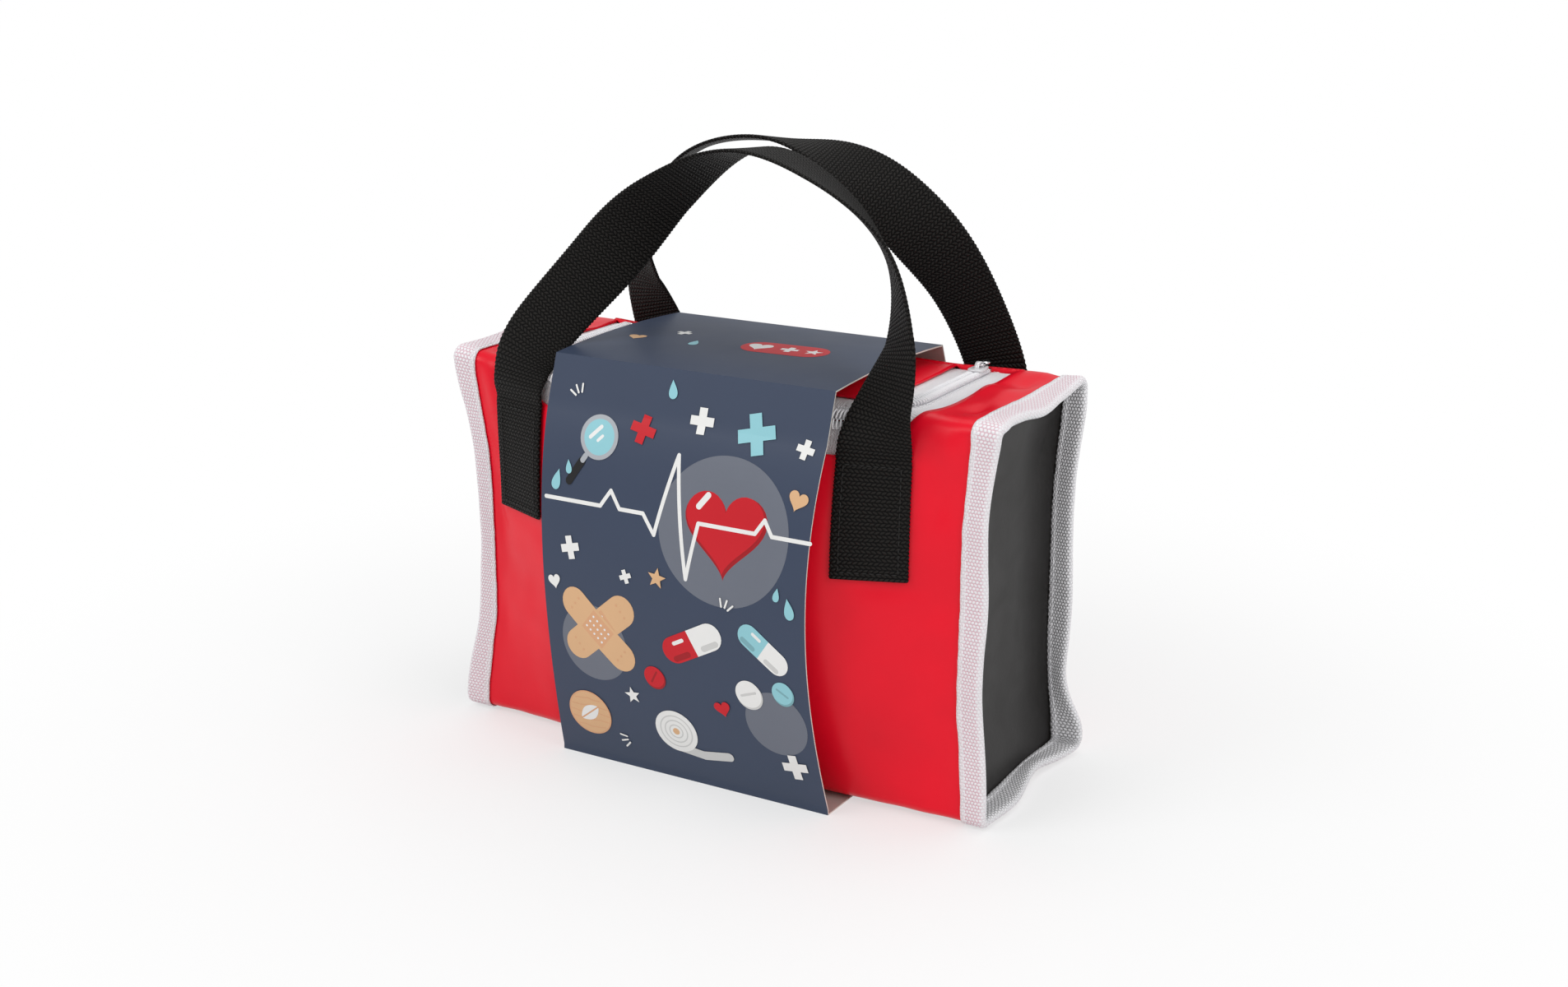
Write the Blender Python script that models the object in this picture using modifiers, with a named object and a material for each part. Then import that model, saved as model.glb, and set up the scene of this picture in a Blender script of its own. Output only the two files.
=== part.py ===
"""Toy doctor case: a soft zipped case with two webbing handles, a card sleeve and ten wooden play tools.

The case stands on the sleeve's bottom panel, which is z = 0. +X runs along the case's length,
-Y is the front and the lid's hinge seam is at the back. The handles swing out from their top
stitch lines, the lid lifts until it meets the sleeve, and the zip slider runs along the straight
right branch of the zip.
"""
import math

import bmesh
import bpy
from mathutils import Vector

# Case: the coated fabric shell between its two end seams
CASE_W = 0.240
CASE_D = 0.094
CASE_H = 0.1687
FABRIC = 0.0010
GAP = 0.0003
LAYER_GAP = 0.0005
SEAM_GAP = 0.0008
FLANGE = 0.0100
BACK_FOLD_R = 0.0060
BOTTOM_FOLD_R = 0.0050
END_SHOULDER_R = 0.0050
MID_SHOULDER_R = 0.0140
FRONT_BULGE = 0.0315
BACK_BULGE = 0.0180
BACK_TUCK = 0.0144
TUCK_HALF_W = 0.0710
TUCK_RISE = 4
TOP_CROWN = 0.0035
BULGE_FALL = 1.2
CROWN_FALL = 4
CROWN_FLATNESS = 16
FRONT_BULGE_SHARES = (0.10, 1.05, 1.35, 0.40)
BACK_BULGE_SHARES = (0.10, 1.10, 0.95, 0.20)
TOP_BAND = 0.0300
END_PANEL_DISH = 0.0015
# The end seams are drawn in between their corners, more so at the left
WAIST_LEFT = 0.0065
WAIST_RIGHT = 0.0030
WAIST_RAMP_SHARE = 0.35
END_DISH_SHARE = 0.6

# Binding tape folded over the end flanges
BINDING_T = 0.0005

# Zip: a U-shaped coil zip on the front shoulder and both sides of the lid
ZIP_SIDE_X = 0.0900
ZIP_CORNER_R = 0.0240
ZIP_FRONT_DROP = 0.0255
ZIP_TAPE_W = 0.0125
ZIP_TAPE_T = 0.0006
ZIP_TAPE_TUCK = 0.0040
ZIP_SLOT = 0.0010
TAPE_GAP = 0.0008
TAPE_CELLS = 3
COIL_GAP = 0.0005
COIL_W = 0.0028
COIL_T = 0.0018
COIL_END = 0.0055
STOP_INSET = 0.0032
STOP_L = 0.0020
STOP_T = 0.0012
SLIDER_L = 0.0110
SLIDER_W = 0.0080
SLIDER_PLATE = 0.0010
SLIDER_PLAY = 0.0005
SLIDER_BLADE = 0.0004
SLIDER_BLADE_L = 0.0040
SLIDER_NECK_W = 0.0020
SLIDER_REST = 0.0095
BRIDGE_PIN_R = 0.00045
BRIDGE_H = 0.0025
BRIDGE_L = 0.0050
BRIDGE_POST_L = 0.0010
PULL_L = 0.0085
PULL_W = 0.0050
PULL_T = 0.0010
PULL_EYE_R = 0.0010
PULL_EYE_PLAY = 0.0012

# Handles: two lengths of webbing, each sewn on by its two ends
STRAP_W = 0.0285
STRAP_T = 0.0016
FOOT_BOTTOM = 0.1045
FOOT_TOP = 0.1530
FOOT_GAP = 0.0005
STITCH_GAP = 0.0010
FOLD_GAP = 0.0004
STRAP_CELLS = 3
FLARE_RISE = 0.20
FRONT_SPAN = 0.1735
FRONT_SHIFT = -0.0042
BACK_SPAN = 0.1698
BACK_SHIFT = 0.0032
ARCH_RISE = 0.1095
CROWN_GAP = 0.0018
# Across (share of half the span), lean (share of the way to the crown), rise, twist (share of a right angle)
FRONT_ARCH_SHARES = (
    (-1.000, 0.00, 0.00, 0.00), (-0.995, -0.01, 0.09, 0.00), (-0.925, 0.11, 0.25, 0.00),
    (-0.680, 0.50, 0.52, 0.12), (-0.345, 0.80, 0.82, 0.62), (0.050, 1.00, 1.00, 0.95),
    (0.500, 0.87, 0.915, 0.88), (0.900, 0.58, 0.70, 0.64), (1.055, 0.27, 0.41, 0.46),
    (1.020, 0.00, 0.12, 0.12), (1.000, 0.00, 0.00, 0.00))
BACK_ARCH_SHARES = (
    (-1.000, 0.00, 0.00, 0.00), (-1.000, 0.00, 0.11, 0.03), (-1.075, 0.18, 0.39, 0.30),
    (-0.940, 0.52, 0.70, 0.67), (-0.560, 0.85, 0.945, 0.94), (-0.080, 1.00, 1.010, 1.10),
    (0.300, 0.86, 0.935, 0.80), (0.590, 0.58, 0.74, 0.40), (0.820, 0.22, 0.49, 0.04),
    (0.985, -0.03, 0.18, -0.05), (1.000, 0.00, 0.00, 0.00))

# Card sleeve: one strip of board, creased and glued under the bottom
SLEEVE_W = 0.1343
SLEEVE_SHIFT = 0.0005
CARD = 0.0006
SLEEVE_EASE = 0.0006
SLEEVE_FRONT_EASE = 0.0120
SLEEVE_BACK_EASE = 0.0040
SLEEVE_TOP_Z = 0.1795
SLEEVE_TOP_ARCH = 0.0018
SLEEVE_TOP_FRONT_Y = -0.0595
SLEEVE_TOP_BACK_Y = 0.0350
SLEEVE_STRAIGHT_Z = 0.1590
SLEEVE_FLAP = 0.0150
LAYERS_UNDER_CASE = 2

# Play tools
BOTTLE_R = 0.0170
BOTTLE_L = 0.0740
BOTTLE_SHOULDER_L = 0.0200
BOTTLE_NECK_R = 0.0070
BOTTLE_NECK_L = 0.0060
BOTTLE_CAP_R = 0.0095
BOTTLE_CAP_L = 0.0100
OTOSCOPE_HEAD_R = 0.0170
OTOSCOPE_HEAD_L = 0.0160
OTOSCOPE_BELL_SHARE = 0.7
OTOSCOPE_GRIP_L = 0.0950
OTOSCOPE_GRIP_R = 0.0065
OTOSCOPE_BUTT_R = 0.0100
# Where a turned handle is thickest, along its length, and how thick its end is
BUTT_START_SHARE = 0.94
BUTT_END_SHARE = 0.85
SYRINGE_R = 0.0110
SYRINGE_WALL = 0.0025
SYRINGE_L = 0.0850
SYRINGE_NOSE_L = 0.0180
SYRINGE_TIP_R = 0.0020
SYRINGE_TIP_L = 0.0080
SYRINGE_FLANGE_R = 0.0130
SYRINGE_FLANGE_T = 0.0040
SYRINGE_TRAVEL = 0.0300
PLUNGER_ROD_R = 0.0040
PLUNGER_HEAD_L = 0.0060
PLUNGER_KNOB_R = 0.0115
PLUNGER_KNOB_T = 0.0050
PLUNGER_PLAY = 0.0004
HAMMER_HEAD_R = 0.0105
HAMMER_HEAD_L = 0.0240
HAMMER_HANDLE_L = 0.1250
HAMMER_NECK_R = 0.0030
HAMMER_END_R = 0.0050
THERMOMETER_L = 0.0520
THERMOMETER_W = 0.0180
THERMOMETER_T = 0.0060
THERMOMETER_TOP_L = 0.0140
DEPRESSOR_L = 0.1200
DEPRESSOR_W = 0.0210
DEPRESSOR_T = 0.0040
PLASTER_L = 0.0560
PLASTER_W = 0.0180
PLASTER_T = 0.0015
PLASTER_COUNT = 3
ARM_R = 0.0040
ARM_L = 0.1500
ARM_SPREAD = 0.0560
ARM_HOOK = 0.0120
ARM_TIP = 0.0020
EAR_R = 0.0060
EAR_L = 0.0100
# Ear tip: along (share of its length) and radius (share of its widest)
EAR_SHARES = ((0.0, 0.7), (0.33, 1.0), (0.8, 1.0), (1.0, 0.5))
HUB_R = 0.0170
HUB_T = 0.0110
CHEST_R = 0.0130
CHEST_T = 0.0140
CHEST_WAIST_R = 0.0090
TOOL_SPACE = 0.0010

# Sampling counts
NX = 22
N_BACK = 10
N_FLOOR = 3
N_FRONT = 8
N_FOLD = 4
N_RISE = 3
N_TOP = 5
STRIP_CELLS = 3
N_SIDE = N_RISE + N_FOLD + N_TOP
N_ZIP = 48
N_ARCH = 32
ROUND = 16

COLOURS = {
    "red_fabric": ((0.74, 0.012, 0.030), 0.32, 0.0),
    "black_fabric": ((0.035, 0.033, 0.032), 0.38, 0.0),
    "white_tape": ((0.80, 0.78, 0.80), 0.80, 0.0),
    "zip_coil": ((0.82, 0.82, 0.82), 0.40, 0.0),
    "zip_metal": ((0.75, 0.75, 0.77), 0.25, 1.0),
    "black_webbing": ((0.012, 0.011, 0.010), 0.85, 0.0),
    "slate_card": ((0.063, 0.080, 0.125), 0.55, 0.0),
    "wood": ((0.70, 0.45, 0.26), 0.55, 0.0),
    "red_paint": ((0.55, 0.02, 0.03), 0.25, 0.0),
    "white_paint": ((0.85, 0.85, 0.84), 0.30, 0.0),
    "turquoise_paint": ((0.30, 0.66, 0.72), 0.28, 0.0),
    "silver_paint": ((0.55, 0.56, 0.58), 0.30, 0.6),
    "black_paint": ((0.02, 0.02, 0.02), 0.30, 0.0),
    "plaster_felt": ((0.72, 0.50, 0.38), 0.90, 0.0),
}

# Places worked out from the sizes above
HALF_D = CASE_D / 2
HALF_W = CASE_W / 2
EDGE_X = HALF_W + FLANGE
BASE_Z = LAYERS_UNDER_CASE * (CARD + GAP)
FLOOR_Z = BASE_Z + FABRIC + GAP
ZIP_EDGE_X = ZIP_SIDE_X + ZIP_TAPE_W
CENTRE = Vector((0, 0, BASE_Z + CASE_H / 2))


def clear_scene():
    for obj in list(bpy.data.objects):
        bpy.data.objects.remove(obj, do_unlink=True)


def make_material(name):
    colour, roughness, metallic = COLOURS[name]
    material = bpy.data.materials.new(name)
    material.use_nodes = True
    shader = material.node_tree.nodes["Principled BSDF"]
    shader.inputs["Base Color"].default_value = (*colour, 1)
    shader.inputs["Roughness"].default_value = roughness
    shader.inputs["Metallic"].default_value = metallic
    return material


def new_object(name, mesh, material):
    obj = bpy.data.objects.new(name, mesh)
    PARTS.objects.link(obj)
    if not mesh.materials:
        mesh.materials.append(MATERIALS[material])
    return obj


def object_from_bmesh(name, bm, material):
    mesh = bpy.data.meshes.new(name)
    bm.to_mesh(mesh)
    bm.free()
    return new_object(name, mesh, material)


def add_solidify(obj, thickness, offset):
    modifier = obj.modifiers.new("Thickness", "SOLIDIFY")
    modifier.thickness = thickness
    modifier.offset = offset
    modifier.use_even_offset = True


def cubic(shares, t):
    """Smooth curve through four shares: the first and last are met, the middle two pull."""
    a, b, c, d = shares
    s = 1 - t
    return a * s ** 3 + 3 * b * t * s * s + 3 * c * t * t * s + d * t ** 3


def swell(x):
    """How far the case bulges at x, from 0 at the end seams to 1 in the middle."""
    return math.cos(math.pi / 2 * min(1, abs(x) / HALF_W)) ** BULGE_FALL if abs(x) < HALF_W else 0


def tuck(x):
    """How far the sleeve draws the back's top edge in at x: fully under it, and not at the end seams."""
    return 1 - ramp((abs(x) - TUCK_HALF_W) / (HALF_W - TUCK_HALF_W))


def back_belly(rise, swelling, tucking):
    return BACK_BULGE * cubic(BACK_BULGE_SHARES, rise) * swelling - BACK_TUCK * rise ** TUCK_RISE * tucking


def ramp(share):
    """Eases a share from 0 to 1 with level ends."""
    share = min(1, max(0, share))
    return share * share * (3 - 2 * share)


def waist(x, z):
    """How far a place at x is drawn towards the middle of the case, at height z of the plain profile."""
    rise = z / CASE_H
    depth = WAIST_LEFT if x < 0 else WAIST_RIGHT
    pinch = ramp(rise / WAIST_RAMP_SHARE) * ramp((1 - rise) / WAIST_RAMP_SHARE)
    reach = min(1, abs(x) / HALF_W)
    return math.copysign(depth * pinch * reach * reach, x)


def skin(x, y, z):
    """Moves a point of the plain box profile to the bulging outer face of the case."""
    rise = z / CASE_H
    depth = (y + HALF_D) / CASE_D
    front = -FRONT_BULGE * cubic(FRONT_BULGE_SHARES, rise) * swell(x)
    back = back_belly(rise, swell(x), tuck(x))
    crown = max(0, 1 - (abs(x) / HALF_W) ** CROWN_FALL) * (1 - (2 * depth - 1) ** CROWN_FLATNESS)
    lift = TOP_CROWN * crown * rise ** CROWN_FALL
    return Vector((x - waist(x, z), y + (1 - depth) * front + depth * back, z + lift + BASE_Z))


def shoulder_radius(x):
    return END_SHOULDER_R + (MID_SHOULDER_R - END_SHOULDER_R) * swell(x)


def top_length(x):
    """Length of the plain profile from the top band's lower line over the shoulder to the hinge seam."""
    r = shoulder_radius(x)
    return TOP_BAND - r + math.pi / 2 * r + CASE_D - r - BACK_FOLD_R


def top_point(x, s):
    """Point at distance s up the front, over the shoulder and back along the top."""
    r = shoulder_radius(x)
    rise = TOP_BAND - r
    arc = math.pi / 2 * r
    if s <= rise:
        return skin(x, -HALF_D, CASE_H - TOP_BAND + s)
    if s <= rise + arc:
        angle = (s - rise) / r
        return skin(x, -HALF_D + r - r * math.cos(angle), CASE_H - r + r * math.sin(angle))
    return skin(x, -HALF_D + r + s - rise - arc, CASE_H)


def lifted(surface, a, b, height):
    """Point standing off a surface function by height, along its outward normal."""
    step = FABRIC
    point = surface(a, b)
    normal = (surface(a + step, b) - surface(a - step, b)).cross(surface(a, b + step) - surface(a, b - step))
    normal.normalize()
    if normal.dot(point - CENTRE) < 0:
        normal.negate()
    return point + normal * height


def sheet(bm, across, along, place):
    """Adds a grid of faces whose corners place(u, v) sets, with u and v from 0 to 1."""
    grid = bmesh.ops.create_grid(bm, x_segments=across, y_segments=along, size=1)
    for vert in grid["verts"]:
        vert.co = place((vert.co.x + 1) / 2, (vert.co.y + 1) / 2)
    return grid["verts"]


def face_outward(bm, centre):
    facing = sum(f.normal.dot(f.calc_center_median() - centre) * f.calc_area() for f in bm.faces)
    if facing < 0:
        bmesh.ops.reverse_faces(bm, faces=bm.faces)


def close_sheet(name, bm, material, thickness, offset, centre=None):
    """Welds a sheet's shared edges, turns it outwards and gives it its thickness."""
    bmesh.ops.remove_doubles(bm, verts=bm.verts, dist=FABRIC / 100)
    bmesh.ops.recalc_face_normals(bm, faces=bm.faces)
    bm.normal_update()
    face_outward(bm, centre or CENTRE)
    obj = object_from_bmesh(name, bm, material)
    add_solidify(obj, thickness, offset)
    return obj


def along_x(u):
    """Spreads samples so that the flange edges, both seams and both sides of the zip fall on one each."""
    index = round(u * NX)
    if index > NX / 2:
        return -along_x(1 - u)
    if index <= 1:
        return -EDGE_X + FLANGE * index
    index -= 1
    if index <= STRIP_CELLS:
        return -HALF_W + (HALF_W - ZIP_EDGE_X) * index / STRIP_CELLS
    middle = NX - 2 - 2 * STRIP_CELLS
    return -ZIP_EDGE_X + 2 * ZIP_EDGE_X * (index - STRIP_CELLS) / middle


def walk(stops, share):
    """Point on a list of (count, function) stretches, each given its count of equal steps."""
    index = round(share * sum(count for count, _ in stops))
    for count, stretch in stops:
        if index <= count:
            return stretch(index / count)
        index -= count


def quarter(y, z, radius, start):
    """A quarter turn about (y, z), as a stretch for walk."""
    def stretch(t):
        angle = start + t * math.pi / 2
        return y + radius * math.cos(angle), z + radius * math.sin(angle)
    return stretch


def line(y0, z0, y1, z1):
    return lambda t: (y0 + (y1 - y0) * t, z0 + (z1 - z0) * t)


def lower_profile(share):
    """Plain profile from the hinge seam down the back, under the floor and up to the top band."""
    back, floor = BACK_FOLD_R, BOTTOM_FOLD_R
    # The back fold turns from up to back, so its quarter runs backwards
    fold = quarter(HALF_D - back, CASE_H - back, back, 0)
    stops = (
        (N_FOLD, lambda t: fold(1 - t)),
        (N_BACK, line(HALF_D, CASE_H - back, HALF_D, floor)),
        (N_FOLD, lambda t: quarter(HALF_D - floor, floor, floor, 3 * math.pi / 2)(1 - t)),
        (N_FLOOR, line(HALF_D - floor, 0, -HALF_D + floor, 0)),
        (N_FOLD, lambda t: quarter(-HALF_D + floor, floor, floor, math.pi)(1 - t)),
        (N_FRONT, line(-HALF_D, floor, -HALF_D, CASE_H - TOP_BAND)),
    )
    return walk(stops, share)


LOWER_STEPS = 3 * N_FOLD + N_BACK + N_FLOOR + N_FRONT


def zip_side_length():
    return top_length(ZIP_SIDE_X) - ZIP_FRONT_DROP - ZIP_CORNER_R


def zip_length():
    return 2 * zip_side_length() + math.pi * ZIP_CORNER_R + 2 * (ZIP_SIDE_X - ZIP_CORNER_R)


def zip_path(distance, offset):
    """Place (x, s) on the top at a distance along the zip from its left back end, stepped outwards by offset."""
    side = zip_side_length()
    corner = math.pi / 2 * ZIP_CORNER_R
    front = 2 * (ZIP_SIDE_X - ZIP_CORNER_R)
    mirrored = distance > side + corner + front / 2
    if mirrored:
        distance = zip_length() - distance
    if distance <= side:
        x, s = -ZIP_SIDE_X - offset, top_length(ZIP_SIDE_X) - distance
    elif distance <= side + corner:
        angle = (distance - side) / ZIP_CORNER_R
        x = -ZIP_SIDE_X + ZIP_CORNER_R - (ZIP_CORNER_R + offset) * math.cos(angle)
        s = ZIP_FRONT_DROP + ZIP_CORNER_R - (ZIP_CORNER_R + offset) * math.sin(angle)
    else:
        x, s = -ZIP_SIDE_X + ZIP_CORNER_R + distance - side - corner, ZIP_FRONT_DROP - offset
    return (-x if mirrored else x), s


def zip_edge(side_name, share, offset):
    """Place (x, s) along the left side, front or right side of the zip, split at its corners' middles."""
    turn = zip_side_length() + math.pi / 4 * ZIP_CORNER_R
    if side_name == "left":
        return zip_path(turn * share, offset)
    if side_name == "front":
        return zip_path(turn + (zip_length() - 2 * turn) * share, offset)
    return zip_path(zip_length() - turn * (1 - share), offset)


def blend(a, b, share):
    return tuple(p + (q - p) * share for p, q in zip(a, b))


def make_body_wrap():
    """Front, floor, back and top side strips, one piece of coated fabric with a window for the lid."""
    bm = bmesh.new()
    sheet(bm, NX, LOWER_STEPS, lambda u, v: skin(along_x(u), *lower_profile(v)))
    reach = ZIP_TAPE_W

    def left_strip(u, v):
        return strip_point((-EDGE_X, band_stop(1 - v)), (-HALF_W, band_stop(1 - v)),
                           zip_edge("left", dense(v), reach), u)

    def right_strip(u, v):
        return strip_point((EDGE_X, band_stop(v)), (HALF_W, band_stop(v)),
                           zip_edge("right", 1 - dense(1 - v), reach), u)

    def front_strip(u, v):
        # Runs between the two seams: the flange ends belong to the side strips
        x = along_x((1 + round(v * (NX - 2))) / NX)
        return top_point(*blend((x, 0), zip_edge("front", v, reach), u))

    sheet(bm, STRIP_CELLS + 1, N_SIDE, left_strip)
    sheet(bm, STRIP_CELLS, NX - 2, front_strip)
    sheet(bm, STRIP_CELLS + 1, N_SIDE, right_strip)
    return close_sheet("body_wrap", bm, "red_fabric", FABRIC, -1)


def dense(share):
    """Draws the samples of a zip side together towards its front end, where the shoulder bends."""
    return share * (2 - share)


def strip_point(edge, seam, inner, u):
    """Point on the flange edge, on the end seam or on the way to the zip, ending on the hinge seam line."""
    index = round(u * (STRIP_CELLS + 1))
    x, s = edge if index == 0 else blend(seam, inner, (index - 1) / STRIP_CELLS)
    if edge[1] == band_stop(1):
        s = top_length(x)
    return top_point(x, s)


def make_lid_panel():
    """Fabric lid inside the U of the zip, hinged on its seam at the back."""
    bm = bmesh.new()
    reach = -ZIP_TAPE_W

    def place(u, v):
        # A four-sided patch: left and right follow the zip's sides, the front its front branch
        left = zip_edge("left", 1 - v, reach)
        right = zip_edge("right", v, reach)
        front = zip_edge("front", u, reach)
        ends = (zip_edge("left", 0, reach), zip_edge("right", 1, reach))
        back_x = blend(ends[0], ends[1], u)[0]
        back = (back_x, top_length(back_x))
        corners = blend(blend(zip_edge("left", 1, reach), zip_edge("right", 0, reach), u),
                        (back_x, blend(ends[0], ends[1], u)[1]), v)
        x = blend(left, right, u)[0] + blend(front, back, v)[0] - corners[0]
        s = blend(left, right, u)[1] + blend(front, back, v)[1] - corners[1]
        return top_point(x, min(s, top_length(x)) - SEAM_GAP * v)

    sheet(bm, NX, N_SIDE, place)
    return close_sheet("lid_panel", bm, "red_fabric", FABRIC, -1)


def band_stop(share):
    """Distance up the end's top band and along the top, with a sample at each end of the shoulder."""
    index = round(share * N_SIDE)
    straight = TOP_BAND - END_SHOULDER_R
    arc = math.pi / 2 * END_SHOULDER_R
    rest = top_length(EDGE_X) - straight - arc
    if index <= N_RISE:
        return straight * index / N_RISE
    if index <= N_RISE + N_FOLD:
        return straight + arc * (index - N_RISE) / N_FOLD
    return straight + arc + rest * (index - N_RISE - N_FOLD) / N_TOP


def end_ring(inset, share):
    """Point (y, z) round the plain end profile, drawn in by inset."""
    half, low, high = HALF_D - inset, inset, CASE_H - inset
    floor = BOTTOM_FOLD_R - inset
    back = BACK_FOLD_R - inset
    front = END_SHOULDER_R - inset
    stops = (
        (N_BACK, line(half, high - back, half, low + floor)),
        (N_FOLD, lambda t: quarter(half - floor, low + floor, floor, 3 * math.pi / 2)(1 - t)),
        (N_FLOOR, line(half - floor, low, -half + floor, low)),
        (N_FOLD, lambda t: quarter(-half + floor, low + floor, floor, math.pi)(1 - t)),
        (N_FRONT, line(-half, low + floor, -half, CASE_H - TOP_BAND)),
        (N_RISE, line(-half, CASE_H - TOP_BAND, -half, high - front)),
        (N_FOLD, lambda t: quarter(-half + front, high - front, front, math.pi / 2)(1 - t)),
        (N_TOP, line(-half + front, high, half - back, high)),
        (N_FOLD, lambda t: quarter(half - back, high - back, back, 0)(1 - t)),
    )
    return walk(stops, share)


RING_STEPS = N_BACK + N_FRONT + N_FLOOR + 3 * N_FOLD + N_SIDE


def make_end_panel(name, side):
    """Black end: a flat panel whose lip turns outwards inside the wrap's edge."""
    inset = FABRIC + LAYER_GAP
    seam = HALF_W - FABRIC
    rings = ((EDGE_X, 1), (seam, 1), (seam - END_PANEL_DISH, END_DISH_SHARE), (seam - END_PANEL_DISH, 0))
    bm = bmesh.new()

    def place(u, v):
        x, scale = rings[round(v * (len(rings) - 1))]
        y, z = end_ring(inset, u)
        middle = CASE_H / 2
        z = middle + (z - middle) * scale
        return Vector((side * x - waist(side * x, z), y * scale, z + BASE_Z))

    sheet(bm, RING_STEPS, len(rings) - 1, place)
    # The lip's free side is its inner one, so the thickness grows that way
    return close_sheet(name, bm, "black_fabric", FABRIC, 1, centre=Vector((0, 0, CENTRE.z)))


def make_binding(name, side):
    """Grosgrain tape folded over the flange and sewn through all its layers."""
    out = GAP + BINDING_T / 2
    deep = 2 * FABRIC + LAYER_GAP + GAP + BINDING_T / 2
    start = HALF_W + GAP
    tip = EDGE_X + GAP + BINDING_T / 2
    profile = ((start, -out), (tip, -out), (tip, deep), (start, deep))
    bm = bmesh.new()

    def place(u, v):
        x, inset = profile[round(v * (len(profile) - 1))]
        y, z = end_ring(inset, u)
        return Vector((side * x - waist(side * x, z), y, z + BASE_Z))

    sheet(bm, RING_STEPS, len(profile) - 1, place)
    return close_sheet(name, bm, "white_tape", BINDING_T, 0)


def zip_strip(name, offsets, height, thickness, material, trim):
    """Strip that follows the zip through a list of offsets, with its upper face at a height off the skin."""
    bm = bmesh.new()

    def place(u, v):
        # Tape and coil share their samples, so that neither cuts a corner that the other follows
        distance = min(max(zip_length() * v, trim), zip_length() - trim)
        x, s = zip_path(distance, offsets[round(u * (len(offsets) - 1))])
        return lifted(top_point, x, min(s, top_length(x)), height)

    sheet(bm, len(offsets) - 1, N_ZIP, place)
    return close_sheet(name, bm, material, thickness, -1)


def make_zip():
    tape_top = -FABRIC - TAPE_GAP
    coil_top = tape_top + COIL_GAP + COIL_T
    slot = ZIP_SLOT / 2
    side = slot + COIL_W
    edge = ZIP_TAPE_W + ZIP_TAPE_TUCK
    rest = [side + (edge - side) * step / TAPE_CELLS for step in range(1, TAPE_CELLS + 1)]
    for name, way in (("outer", 1), ("inner", -1)):
        zip_strip("zipper_tape_" + name, [way * offset for offset in (slot, side, *rest)], tape_top, ZIP_TAPE_T,
                  "white_tape", SEAM_GAP)
        zip_strip("zipper_coil_" + name, [way * slot, way * side], coil_top, COIL_T, "zip_coil", COIL_END)


def box(bm, centre, size):
    """Adds a box of the given full sizes."""
    made = bmesh.ops.create_cube(bm, size=1)["verts"]
    for vert in made:
        vert.co = Vector(centre) + Vector([c * s for c, s in zip(vert.co, size)])
    return made


def union(target, tool):
    modifier = target.modifiers.new("Join", "BOOLEAN")
    modifier.operation = "UNION"
    modifier.object = tool
    hide_tool(tool)


def cut(target, tool):
    modifier = target.modifiers.new("Cut", "BOOLEAN")
    modifier.operation = "DIFFERENCE"
    modifier.object = tool
    hide_tool(tool)


def hide_tool(tool):
    for collection in list(tool.users_collection):
        collection.objects.unlink(tool)
    if tool.name not in CUTTERS.objects:
        CUTTERS.objects.link(tool)
    tool.hide_render = True
    tool.display_type = "WIRE"


def slider_place():
    """Centre of the parked slider on the coil's line, at the coil's top."""
    s = top_length(ZIP_SIDE_X) - SLIDER_REST
    point = top_point(ZIP_SIDE_X, s)
    crest = max(top_point(ZIP_SIDE_X, s - step * SLIDER_L).z for step in range(6))
    return Vector((ZIP_SIDE_X, point.y, crest + COIL_T + COIL_GAP - FABRIC - TAPE_GAP))


def make_slider():
    """Two plates joined by a blade in the slot between the coils, with a bridge for the pull."""
    place = slider_place()
    upper = SLIDER_PLAY + SLIDER_PLATE / 2
    lower = -COIL_T - ZIP_TAPE_T - COIL_GAP - 2 * SLIDER_PLAY - SLIDER_PLATE / 2
    post = SLIDER_NECK_W - GAP
    bm = bmesh.new()
    box(bm, (0, 0, upper), (SLIDER_W, SLIDER_L, SLIDER_PLATE))
    plate = object_from_bmesh("zipper_slider", bm, "zip_metal")
    plate.location = place
    bevel = plate.modifiers.new("Corners", "BEVEL")
    bevel.width = SLIDER_PLATE / 4
    bevel.segments = 2
    pieces = {
        "slider_lower_plate": ((0, 0, lower), (SLIDER_W, SLIDER_L, SLIDER_PLATE)),
        "slider_blade": ((0, 0, (upper + lower) / 2), (SLIDER_BLADE, SLIDER_BLADE_L, upper - lower)),
        "slider_post_front": ((0, -(BRIDGE_L - BRIDGE_POST_L) / 2, upper + BRIDGE_H / 2),
                              (post, BRIDGE_POST_L, BRIDGE_H)),
        "slider_post_back": ((0, (BRIDGE_L - BRIDGE_POST_L) / 2, upper + BRIDGE_H / 2),
                             (post, BRIDGE_POST_L, BRIDGE_H)),
        "slider_bridge": ((0, 0, upper + BRIDGE_H), (SLIDER_NECK_W, BRIDGE_L + GAP, BRIDGE_POST_L)),
    }
    for name, (centre, size) in pieces.items():
        bm = bmesh.new()
        box(bm, centre, size)
        tool = object_from_bmesh(name, bm, "zip_metal")
        tool.location = place
        union(plate, tool)


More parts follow.
